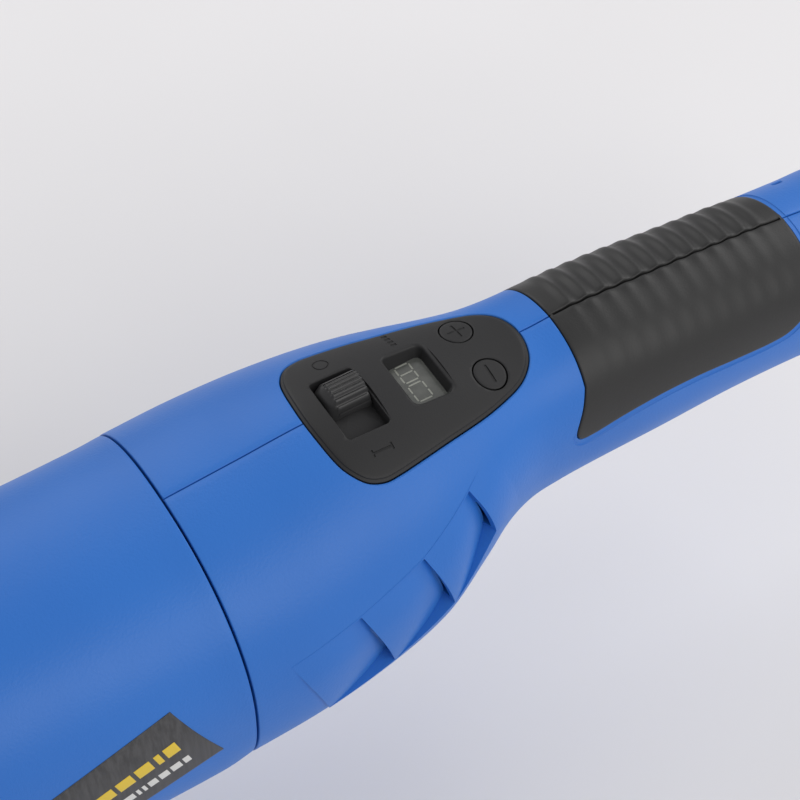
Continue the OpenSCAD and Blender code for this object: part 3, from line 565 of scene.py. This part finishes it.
def ribs(s, t):
    """Height of the cross ribs: twelve rounded swells, strong on the far side, soft on the near one."""
    first, pitch, count = 116.5, 5.85, 12
    u = (s - first) / pitch
    wave = 0.5 - 0.5 * np.cos(2 * np.pi * (u - np.floor(u)))
    side = np.where(t > 0, np.clip((27 - t) / 9, 0, 1), 0.13 + 0.42 * np.exp(-(t / 2.5) ** 2))
    side *= np.clip((29 - np.abs(t)) / 8, 0, 1)
    ends = np.clip((s - first) / 4, 0, 1) * np.clip((first + pitch * count - s) / 5, 0, 1)
    return np.where((u > 0) & (u < count), wave ** 1.2, 0) * side * ends * 0.75


def grip_piece(side):
    """One rubber half, with a rounded edge, standing just proud of the shell."""
    edge = grip_half_edge()
    seam = np.stack([np.linspace(191.3, 113.2, 110)[1:-1], np.zeros(108)], -1)
    outline = np.concatenate([edge, seam])
    outline[:, 1] = np.maximum(outline[:, 1], 0.13)
    steps = curve_through(outline, 3)
    steps[:, 1] = np.maximum(steps[:, 1], 0.13)
    steps[:, 1] *= side

    def place(s, t, depth):
        fade = np.clip((2.0 - depth) / 2.0, 0, 1)
        return grip_place(s, t, depth - ribs(s, t) * fade)
    levels = [(-0.9, -0.18), (-0.5, -0.15), (-0.24, -0.07), (-0.1, 0.06), (-0.03, 0.28), (0, 0.7), (0, 2.0)]
    return stack("grip", steps, levels, place, (120, 184), 30, mid=side * 17.0)


def grip_outline():
    """The closed edge of both grips together."""
    far = grip_half_edge()
    near = far[::-1].copy()
    near[:, 1] *= -1
    return curve_through(np.concatenate([far[:-1], near[:-1]]), 2)


def grip_pocket():
    return stack("cutter", grip_outline(), [(0.9, -2.0), (0.6, -0.3), (0.42, -0.02), (0.3, 0.05), (0.22, 0.2),
                                            (0.2, 0.45), (0.2, 2.7)], grip_place, (122, 182), 10, mid=0.0)


def grip_ledge():
    """A shallow step round the grip's lower and rear edges. It rises out of the skin at the front edge."""
    def place(s, t, depth):
        z = grip_place(s, t, 0 * s)[:, 2] - AXIS_Z
        front = np.clip((z - 20.0) / 2.5, 0, 1) * np.clip((120 - s) / 4, 0, 1)
        return grip_place(s, t, depth - 0.8 * front)
    return stack("cutter", grip_outline(), [(1.75, -2.0), (1.68, -0.1), (1.6, 0.04), (1.5, 0.2), (1.42, 0.26)],
                 place, (122, 182), 10, mid=0.0)


def tail_notch():
    """A small slot in the far side of the tail."""
    outline = rounded_box(201.0, 204.6, -1.1, 1.1, 1.0, 5)
    t0 = (90 - 51) * DEG_MM
    return stack("cutter", outline, [(0.5, -1.0), (0.35, -0.05), (0.12, 0.08), (0, 0.35), (0, 6)],
                 lambda s, t, d: grip_place(s, t + t0, d))


for side, body_name in ((-1, "left_handle_shell"), (1, "right_handle_shell")):
    shell = shell_half(side)
    carve(shell, louvre_band(side), join=True)
    cutters = [panel_pocket(), grip_ledge(), grip_pocket()]
    cutters += [louvre_cutter(a, b, side) for a, b in zip(LOUVRES, LOUVRES[1:])]
    cutters += [louvre_slot(edge, side) for edge in LOUVRES[1:]]
    if side > 0:
        cutters.append(tail_notch())
    carve(shell, *cutters)
    polish(dress(shell, BLUE))
    add(body_name + "_skin", shell, "housing", "blue", body_name)

for side, node_name in ((-1, "left_grip"), (1, "right_grip")):
    add(node_name + "_rubber", polish(dress(grip_piece(side), RUBBER), 50), "housing", "rubber", node_name)


# ---------------------------------------------------------------- motor housing
BARREL = (-96.0, -0.28)           # front and rear end, past the seam
BARREL_T = 3.4                    # its wall
BARREL_DEG = 0.745                # length of a degree round it
EXHAUST = (-91, -78, 1.3)         # front, rear and half width of an exhaust slot
EXHAUST_STEP = 11                 # degrees from one slot to the next


def barrel():
    front, rear = BARREL
    s = near_edges(front, rear, 60, EDGE)
    a = np.linspace(0, 360, 240, endpoint=False)
    drop = rounding(np.minimum(s - front, rear - s), EDGE)
    S, A = np.meshgrid(s, a, indexing="ij")
    outer = housing.at(S, A, np.broadcast_to(drop[:, None], S.shape))
    inner = housing.at(S, A, np.full(S.shape, BARREL_T))
    return tube("barrel", np.concatenate([outer, inner[::-1], outer[:1]]), cap=False)


def exhaust_cutter(turn):
    """One rounded slot in the front of the barrel, on the line at that angle."""
    outline = rounded_box(EXHAUST[0], EXHAUST[1], -EXHAUST[2], EXHAUST[2], 1.25, 6)
    return stack("cutter", outline, [(0.4, -1.0), (0.3, 0.0), (0.08, 0.15), (0, 0.4), (0, 6)],
                 lambda s, t, d: housing.at(s, turn + t / BARREL_DEG, d))


body = barrel()
carve(body, *[exhaust_cutter(base + EXHAUST_STEP * k) for base in (0, 180) for k in range(-3, 4)])
add("motor_housing_skin", polish(dress(body, BLUE)), "housing", "blue", "motor_housing")

# ---------------------------------------------------------------- control panel
SLOT = (46.5, 58.7, 9.8)          # front, rear, half width of the power slider's slot
WINDOW = (66.8, 78.4, 8.5)        # the same of the display window
BUTTON_S, BUTTON_Y, BUTTON_R = 89.4, 7.95, 4.32


def on_panel(s, y, depth):
    return handle.top(s, y, depth - PANEL_PROUD)


panel = stack("panel", panel_line, [(-1.9, -0.05), (-1.5, -0.02), (-1.2, 0.1), (-1.1, 0.34), (-0.95, 0.45),
                                    (-0.6, 0.45), (-0.36, 0.52), (-0.22, 0.75), (-0.2, 1.2), (-0.2, 5.4)],
              on_panel, PANEL_SPINE, 22)
lip = [(0.6, -1.5), (0.4, -0.12), (0.22, 0.0), (0.08, 0.08), (0.0, 0.3)]
slot_line = rounded_box(SLOT[0], SLOT[1], -SLOT[2], SLOT[2], 1.0)
window_line = rounded_box(WINDOW[0], WINDOW[1], -WINDOW[2], WINDOW[2], 2.0)
cut_list = [stack("cutter", slot_line, lip + [(0.0, 3.6)], on_panel),
            stack("cutter", window_line, [(1.1, -1.5), (0.9, -0.12), (0.62, 0.0), (0.35, 0.12), (0.12, 0.4),
                                          (0.0, 0.8), (-0.25, 6.0)], on_panel)]
for sign in (-1, 1):
    cut_list.append(stack("cutter", circle(BUTTON_S, sign * BUTTON_Y, BUTTON_R + 0.3), [
        (0.5, -1.5), (0.3, -0.1), (0.15, 0.0), (0.04, 0.08), (0.0, 0.25), (0.3, 0.6), (0.3, 3.6)], on_panel))
engrave = [(0.1, -1.0), (0.06, 0.0), (0.0, 0.1), (-0.05, 0.2)]


def bar(s0, s1, y0, y1, r=0.2):
    return rounded_box(s0, s1, y0, y1, r, 3)


def ring_groove(cs, cy, r, width):
    """A round engraved line."""
    t = turns(64)
    profile = [(r + width / 2 + 0.04, -1.0), (r + width / 2, 0.0), (r + width / 4, 0.16), (r - width / 4, 0.16),
               (r - width / 2, 0.0), (r - width / 2 - 0.04, -1.0)]
    rings = [on_panel(cs + q * np.cos(t), cy + q * np.sin(t), np.full(64, d)) for q, d in profile + profile[:1]]
    return tube("cutter", np.array(rings), cap=False)


# on mark: a bar with end strokes; off mark: a ring; five short bars in place of a label by the window
MARK_Y = 15.1
ON_ENDS, STROKE, SERIF = (50.0, 55.9), 0.42, 0.85
(e0, e1), (e2, e3) = (ON_ENDS[0], ON_ENDS[0] + STROKE), (ON_ENDS[1] - STROKE, ON_ENDS[1])
one_side = [(e0, SERIF), (e1, SERIF), (e1, STROKE / 2), (e2, STROKE / 2), (e2, SERIF), (e3, SERIF)]
on_mark = [(a, b - MARK_Y) for a, b in one_side] + [(a, -b - MARK_Y) for a, b in one_side[::-1]]
cut_list.append(stack("cutter", polyline(on_mark, 0.2), engrave, on_panel, (50.2, 55.7), mid=-MARK_Y))
cut_list.append(ring_groove(53.2, MARK_Y, 1.95, 0.4))
for k in range(5):
    cut_list.append(stack("cutter", bar(72.0, 73.5, 11.0 + 1.55 * k, 12.0 + 1.55 * k), engrave, on_panel))
carve(panel, *cut_list)
add("control_panel_skin", polish(dress(panel, PANEL), 40), "housing", "dark", "control_panel")


def button(sign):
    """A flush round button with its mark cut in."""
    y = sign * BUTTON_Y
    levels = [(-0.6, -0.04), (-0.3, -0.01), (-0.1, 0.1), (-0.02, 0.3), (0, 0.6), (0, 2.4)]
    cap = stack("button", circle(BUTTON_S, y, BUTTON_R, 64), levels, on_panel, inner=8)
    cuts = [stack("cutter", bar(BUTTON_S - 0.3, BUTTON_S + 0.3, y - 2.6, y + 2.6), engrave, on_panel)]
    if sign > 0:
        cuts.append(stack("cutter", bar(BUTTON_S - 2.6, BUTTON_S + 2.6, y - 0.3, y + 0.3), engrave, on_panel))
    return polish(dress(carve(cap, *cuts), PANEL), 40)


add("plus_button_cap", button(1), "plus", "dark", "plus_button")
add("minus_button_cap", button(-1), "minus", "dark", "minus_button")


# ---------------------------------------------------------------- power slider
KNOB_Y = (-1.4, 9.2)              # near and far end of the knob at rest
CROWN_Z, FOOT_Z = 49.0, 42.2      # top of its crown and its underside, from the motor axis


def knob():
    """A thumb slide: a rounded crown with six ribs on its near part and a smooth slanting side to the front."""
    y_near, y_far = KNOB_Y
    y = np.linspace(y_near, y_far, 181)
    mid, half = (y_far + y_near) / 2, (y_far - y_near) / 2
    u = (y - mid) / half
    top = CROWN_Z - 4.4 * np.abs(u) ** 2.6
    pitch, ribs_from = 1.32, y_near + 0.2
    rib_zone = (y > ribs_from) & (y < ribs_from + 6 * pitch)
    phase = (y - ribs_from) / pitch
    flat = top.copy()
    top -= np.where(rib_zone, 0.55 * (0.5 + 0.5 * np.cos(2 * np.pi * phase)) ** 1.5, 0)
    x = near_edges(SLOT[0] + 0.35, SLOT[1] - 0.35, 30, 0.7)
    drop = rounding(np.minimum(x - x[0], x[-1] - x), 0.7)
    shoulder = np.clip(1 - (x - x[0]) / 2.4, 0, 1)
    rows = []
    for xi, di, fall in zip(x, drop, shoulder):
        plain = min(1, 9 * fall)
        height = top * (1 - plain) + (flat - 0.3) * plain - 2.6 * fall ** 1.1
        upper = np.stack([np.full(len(y), SEAM_X + xi), y, AXIS_Z + np.maximum(height - di, FOOT_Z + 0.2)], -1)
        lower = upper[::-1].copy()
        lower[:, 2] = AXIS_Z + FOOT_Z
        rows.append(np.concatenate([upper, lower]))
    return tube("knob", np.array(rows))


add("power_slider_knob", polish(dress(knob(), KNOB), 45), "slider", "dark", "power_slider")


# ---------------------------------------------------------------- display
def flat_top(s, y, depth):
    """Points on a level plane under the panel's window, depth below the panel's skin at its middle."""
    z = handle.top(np.array([72.5]), np.array([0.001]))[0, 2]
    return np.stack([SEAM_X + s, y, z - depth + 0 * s], -1)


def glass_detail(nodes, links, bsdf):
    smear = noise(nodes, links, 220, 5, 0.6)
    mix_colour(nodes, links, smear.outputs["Fac"], (0.13, 0.135, 0.125), (0.085, 0.09, 0.083),
               bsdf.inputs["Base Color"])
    spread(nodes, links, smear.outputs["Fac"], 0.1, 0.3, bsdf.inputs["Roughness"])


GLASS = material("display_glass", glass_detail, Coat_Weight=0.5, Coat_Roughness=0.06)
SEGMENT = material("display_segment", moulded((0.33, 0.34, 0.30), (0.25, 0.26, 0.23), 0.35, 1800, 0.00003))

lens_line = rounded_box(WINDOW[0] - 0.3, WINDOW[1] + 0.3, -WINDOW[2] - 0.3, WINDOW[2] + 0.3, 1.2)
lens = stack("lens", lens_line, [(-0.5, 4.75), (-0.2, 4.8), (0, 4.9), (0, 5.4)], flat_top, inner=4)
add("display_lens_glass", polish(dress(lens, GLASS)), "housing", "lens", "display_lens")


def digit(cs, cy, long, wide, on):
    """A seven-segment figure lying across the window, its tall way along Y."""
    w, g = 0.42, 0.12
    h = long / 2
    spots = [(0, h, 0), (wide / 2, h / 2, 1), (wide / 2, -h / 2, 1), (0, -h, 0), (-wide / 2, -h / 2, 1),
             (-wide / 2, h / 2, 1), (0, 0, 0)]
    out = []
    for k, (ds, dy, upright) in enumerate(spots):
        if k not in on:
            continue
        a, b = (w / 2, h / 2 - g - w / 2) if upright else (wide / 2 - g - w / 2, w / 2)
        out.append(stack("segment", rounded_box(cs + ds - a, cs + ds + a, cy + dy - b, cy + dy + b, 0.16, 3),
                         [(-0.06, 4.7), (0, 4.72), (0, 4.85)], flat_top, inner=1))
    return out


def joined(objs):
    """One object from several meshes; their material lists are not carried over."""
    bm = bmesh.new()
    for o in objs:
        bm.from_mesh(o.data)
    mesh = bpy.data.meshes.new("joined")
    bm.to_mesh(mesh)
    bm.free()
    for o in objs:
        bpy.data.objects.remove(o)
    obj = bpy.data.objects.new("joined", mesh)
    bpy.context.scene.collection.objects.link(obj)
    return obj


FIGURE_S = 72.2                   # middle of the figures, past the seam
FIGURE = (5.6, 4.2)               # height and width of a figure
segments = joined(digit(FIGURE_S, 4.3, *FIGURE, range(7)) + digit(FIGURE_S, -2.4, *FIGURE, range(6)))
add("display_segments", polish(dress(segments, SEGMENT)), "housing", "lens")


# ---------------------------------------------------------------- badges
def brushed(nodes, links, bsdf):
    streak = noise(nodes, links, 900, 3, 0.6, stretch=(1, 1, 0.04))
    mix_colour(nodes, links, streak.outputs["Fac"], (0.030, 0.030, 0.032), (0.062, 0.062, 0.066),
               bsdf.inputs["Base Color"])
    spread(nodes, links, streak.outputs["Fac"], 0.3, 0.5, bsdf.inputs["Roughness"])
    bump(nodes, links, bsdf, streak.outputs["Fac"], 0.2, 0.00003)


BADGE = material("badge_print", brushed)
YELLOW = material("badge_yellow", moulded((0.78, 0.56, 0.04), (0.70, 0.49, 0.03), 0.4, 1800, 0.00002))
WHITE = material("badge_white", moulded((0.72, 0.72, 0.70), (0.62, 0.62, 0.60), 0.42, 1800, 0.00002))
BADGE_CORNERS = [(-20.8, 19.3), (-9.6, -4.4), (-58.0, -19.5), (-74.0, 6.8)]


def on_barrel(side):
    return lambda s, z, depth: housing.flank(s, z, depth, side)


def badge(side):
    outline = polyline(BADGE_CORNERS)
    return stack("badge", outline, [(-0.5, -0.26), (-0.2, -0.25), (-0.05, -0.15), (0, 0.0), (0, 0.3)],
                 on_barrel(side), (-60, -22), 14, mid=-1.0)


def badge_bars(side, start, height, bars):
    """Plain bars in place of lettering, in a row that follows the badge's slant."""
    (s0, z0), (s1, z1) = BADGE_CORNERS[1:3]
    length = math.hypot(s1 - s0, z1 - z0)
    along, across = ((s1 - s0) / length, (z1 - z0) / length), ((z1 - z0) / length, (s0 - s1) / length)
    out, at = [], 0.0
    for w, gap in bars:
        p = (start[0] + along[0] * at, start[1] + along[1] * at)
        q = (p[0] + along[0] * w, p[1] + along[1] * w)
        box = [p, q, (q[0] + across[0] * height, q[1] + across[1] * height),
               (p[0] + across[0] * height, p[1] + across[1] * height)]
        out.append(stack("bar", polyline(box, 0.8), [(-0.08, -BAR_PROUD), (0, 0.03 - BAR_PROUD), (0, 0.0)],
                         on_barrel(side), inner=3))
        at += w + gap
    return joined(out)


# (length, gap after it) of each bar; the bars stand BAR_PROUD over the barrel's skin
YELLOW_BARS = [(3.6, 1.1), (1.6, 1.3), (4.4, 1.1), (4.4, 1.1), (4.4, 1.1), (3.2, 1.1), (4.4, 1.1), (1.6, 1.3),
               (4.4, 1.1)]
WHITE_BARS = [(1.8, 0.8), (2.8, 0.8), (2.6, 0.8), (2.4, 0.8), (0.9, 0.8), (0.9, 0.8), (2.8, 0.8), (2.8, 2.4),
              (6.4, 0.8), (4.2, 0.8)]
BAR_PROUD = 0.32

for side, word in ((-1, "left"), (1, "right")):
    add(word + "_badge_plate", polish(dress(badge(side), BADGE), 40), "housing", "badge", word + "_badge")
    yellow = badge_bars(side, (-20.6, 5.6), 4.4, YELLOW_BARS)
    add(word + "_badge_stripe", polish(dress(yellow, YELLOW)), "housing", "badge")
    white = badge_bars(side, (-18.2, -1.2), 3.0, WHITE_BARS)
    add(word + "_badge_line", polish(dress(white, WHITE)), "housing", "badge")


# ---------------------------------------------------------------- head
BOSS_R, BOSS_Z = 9.4, 92.0        # holes in the cover round the side handle bosses
STEP_X = 27.7                     # the cover's lower edge steps down here
FRONT_Z, REAR_Z = 72, 50          # height of the lower edge in front of the step and behind it
SKIRT_R = 46.3                    # room in the cover for the top of the shroud


def head_cover():
    """The rubber boot over the gear head: a closed nose, open below and behind."""
    s = np.concatenate([[-51.58, -51.45, -51.2, -50.8, -50.2, -49.4, -48.3, -47], near_edges(-45.5, 42.4, 60, 0.5)])
    a = np.linspace(0, 360, 216, endpoint=False)
    S, A = np.meshgrid(s, a, indexing="ij")
    drop = np.where(s > 30, rounding(42.4 - s, 0.8), 0.0)
    outer = cover.at(S, A, np.broadcast_to(drop[:, None], S.shape))
    t = np.linspace(-47.2, 42.4, len(s))
    T, A = np.meshgrid(t, a, indexing="ij")
    inner = cover.at(T, A, np.full(T.shape, 3.8))
    grid = np.concatenate([outer, inner[::-1]])
    boot = tube("cover", grid)
    low = new_object("cutter", *block((-100, STEP_X + 0.1), (-80, 80), (-20, FRONT_Z)))
    high = new_object("cutter", *block((STEP_X, 80), (-80, 80), (-20, REAR_Z)))
    t = turns(160)
    skirt_room = tube("cutter", np.array([np.stack([SKIRT_R * np.cos(t), SKIRT_R * np.sin(t), np.full(160, z)], -1)
                                          for z in (20.0, 71.0)]))
    cuts = [low, high, skirt_room]
    t = turns(96)
    for side in (-1, 1):
        cuts.append(tube("cutter", np.array([np.stack([BOSS_R * np.cos(t), np.full(96, side * y),
                                                       BOSS_Z + BOSS_R * np.sin(t)], -1) for y in (20.0, 60.0)])))
    return carve(boot, *cuts)


def block(x, y, z):
    """Corners and faces of a box between the pairs of limits."""
    verts = [(i, j, k) for i in x for j in y for k in z]
    return verts, [(0, 1, 3, 2), (4, 6, 7, 5), (0, 4, 5, 1), (2, 3, 7, 6), (0, 2, 6, 4), (1, 5, 7, 3)]


add("head_cover_boot", polish(dress(head_cover(), COVER_RUBBER), 40), "housing", "rubber", "head_cover")


shroud_profile = [(43.3, 24.3), (43.7, 24.0), (45.1, 24.0), (45.6, 24.4), (45.9, 27.6), (45.5, 28.6), (44.9, 29.2),
                  (44.9, 31.4), (45.4, 32.2), (45.4, 62.8), (45.0, 63.4), (44.4, 63.6), (43.3, 63.6)]
shroud = spun("shroud", shroud_profile)
add("shroud_skirt", polish(dress(shroud, COVER_RUBBER), 40), "housing", "rubber", "shroud")

# ---------------------------------------------------------------- pad plate
PAD = (THROW, 0.0)


def foam_detail(nodes, links, bsdf):
    slow = noise(nodes, links, 40, 3)
    mix_colour(nodes, links, slow.outputs["Fac"], (0.055, 0.055, 0.058), (0.040, 0.040, 0.042),
               bsdf.inputs["Base Color"])
    cells = node(nodes, "ShaderNodeTexVoronoi", Scale=1400.0)
    coord = nodes.new("ShaderNodeTexCoord")
    links.new(coord.outputs["Object"], cells.inputs["Vector"])
    bump(nodes, links, bsdf, cells.outputs["Distance"], 0.5, 0.00025)


FOAM = material("cushion_foam", foam_detail, Roughness=0.85, Sheen_Weight=0.1)


def hook_detail(nodes, links, bsdf):
    cells = node(nodes, "ShaderNodeTexVoronoi", Scale=900.0)
    coord = nodes.new("ShaderNodeTexCoord")
    links.new(coord.outputs["Object"], cells.inputs["Vector"])
    mix_colour(nodes, links, cells.outputs["Distance"], (0.018, 0.018, 0.019), (0.06, 0.06, 0.062),
               bsdf.inputs["Base Color"])
    bump(nodes, links, bsdf, cells.outputs["Distance"], 0.8, 0.0006)


HOOK = material("hook_fabric", hook_detail, Roughness=0.9, Sheen_Weight=0.3)
cushion_profile = [(8.0, 1.7), (60.6, 1.7), (61.2, 2.1), (61.4, 2.8), (61.3, 3.6), (60.6, 5.0), (59.6, 7.2),
                   (58.9, 8.8), (58.3, 9.4), (8.0, 9.4)]
cushion = spun("cushion", cushion_profile, PAD)
add("plate_cushion_foam", polish(dress(cushion, FOAM), 40), "pad", "foam", "plate_cushion")
hook = spun("hook", [(7.0, 0.0), (60.6, 0.0), (61.0, 0.3), (61.0, 1.3), (60.8, 1.6), (7.0, 1.6)], PAD)
add("hook_face_disc", polish(dress(hook, HOOK), 40), "pad", "hook", "hook_face")

# ---------------------------------------------------------------- cord gland
def gland():
    """The rubber inlet's collar and bore at the tail."""
    profile = [(4.3, 222.0), (7.9, 222.0), (7.9, 234.9), (9.2, 235.05), (9.6, 235.5), (9.6, 238.0), (9.1, 238.7),
               (8.2, 239.0), (5.2, 239.0), (4.6, 238.8), (4.3, 238.3)]
    t = turns(128)
    grid = np.array([np.stack([np.full(128, SEAM_X + x), r * np.cos(t), GLAND_Z + r * np.sin(t)], -1)
                     for r, x in profile + profile[:1]])
    return tube("gland", grid, cap=False)


add("cord_gland_ring", polish(dress(gland(), COVER_RUBBER), 40), "housing", "rubber", "cord_gland")


# ---------------------------------------------------------------- materials of the CAD nodes that show as they are
def cast_metal(light, dark_, rough, streaks=(1, 1, 1)):
    def build(nodes, links, bsdf):
        slow = noise(nodes, links, 70, 5, 0.6, streaks)
        mix_colour(nodes, links, slow.outputs["Fac"], dark_, light, bsdf.inputs["Base Color"])
        fine = noise(nodes, links, 1500, 3, 0.6, streaks)
        spread(nodes, links, fine.outputs["Fac"], rough - 0.08, rough + 0.1, bsdf.inputs["Roughness"])
        bump(nodes, links, bsdf, fine.outputs["Fac"], 0.3, 0.00008)
    return build


FINISHES = {
    "alloy": material("cast_alloy", cast_metal((0.60, 0.61, 0.63), (0.46, 0.47, 0.49), 0.42), Metallic=1.0),
    "steel": material("ground_steel", cast_metal((0.62, 0.62, 0.64), (0.50, 0.50, 0.52), 0.28, (1, 1, 0.1)),
                      Metallic=1.0),
    "core": material("stacked_sheet", cast_metal((0.30, 0.30, 0.32), (0.20, 0.20, 0.21), 0.45, (6, 0.2, 0.2)),
                     Metallic=1.0),
    "copper": material("lacquered_copper", cast_metal((0.62, 0.27, 0.12), (0.48, 0.19, 0.08), 0.32, (0.2, 4, 4)),
                       Metallic=1.0),
    "brass": material("pressed_brass", cast_metal((0.62, 0.45, 0.18), (0.50, 0.35, 0.13), 0.35), Metallic=1.0),
    "carbon": material("carbon_block", moulded((0.030, 0.030, 0.030), (0.020, 0.020, 0.020), 0.6, 2500, 0.00008)),
    "dark": PANEL, "rubber": COVER_RUBBER, "blue": BLUE, "badge": BADGE, "foam": FOAM, "hook": HOOK, "lens": GLASS,
    "module": material("display_body", moulded((0.030, 0.030, 0.032), (0.022, 0.022, 0.024), 0.6, 1500, 0.00006)),
    "board": material("circuit_board", moulded((0.020, 0.120, 0.050), (0.015, 0.090, 0.040), 0.35, 400, 0.00005)),
    "amber": material("capacitor_shell", moulded((0.60, 0.35, 0.06), (0.50, 0.28, 0.05), 0.3, 900, 0.00004)),
    "white": material("terminal_plastic", moulded((0.70, 0.70, 0.67), (0.62, 0.62, 0.60), 0.45, 1500, 0.00005)),
}
slot_of = {p["node"]: p["material_slot"] for p in record["subparts"]}
for name, obj in frame["nodes"].items():
    finish = FINISHES[slot_of[name]]
    for k in range(max(1, len(obj.material_slots))):
        if obj.material_slots:
            obj.material_slots[k].material = finish
        else:
            obj.data.materials.append(finish)


# ---------------------------------------------------------------- floor and light
def paper(nodes, links, bsdf):
    slow = noise(nodes, links, 3, 3)
    mix_colour(nodes, links, slow.outputs["Fac"], (0.775, 0.765, 0.775), (0.81, 0.80, 0.81), bsdf.inputs["Base Color"])
    fine = noise(nodes, links, 500, 4)
    bump(nodes, links, bsdf, fine.outputs["Fac"], 0.1, 0.00005)


floor = new_object("floor", [(-6000, -6000, 0), (6000, -6000, 0), (6000, 6000, 0), (-6000, 6000, 0)], [(0, 1, 2, 3)])
dress(floor, material("floor_paper", paper, Roughness=0.6))

world = bpy.data.worlds.new("world")
bpy.context.scene.world = world
world.use_nodes = True
world.node_tree.nodes["Background"].inputs["Color"].default_value = (0.92, 0.92, 0.94, 1)
world.node_tree.nodes["Background"].inputs["Strength"].default_value = 0.50


def area_light(name, at, target, size, power, colour):
    data = bpy.data.lights.new(name, "AREA")
    data.shape, data.size, data.size_y = "RECTANGLE", size[0], size[1]
    data.energy, data.color = power, colour
    obj = bpy.data.objects.new(name, data)
    bpy.context.scene.collection.objects.link(obj)
    obj.location = Vector(at)
    obj.rotation_euler = (Vector(target) - Vector(at)).to_track_quat("-Z", "Y").to_euler()


area_light("key", (0.55, -1.1, 0.95), (0.25, 0, 0.08), (1.3, 1.0), 9.5, (1.0, 0.99, 0.97))
area_light("far", (0.1, 0.95, 0.75), (0.2, 0.45, 0.0), (0.9, 0.9), 4.5, (1.0, 0.99, 0.98))
area_light("side", (1.4, 0.2, 0.8), (0.3, 0, 0.1), (0.8, 0.8), 5.0, (1.0, 0.99, 0.98))
bpy.context.scene.view_settings.view_transform = "Standard"
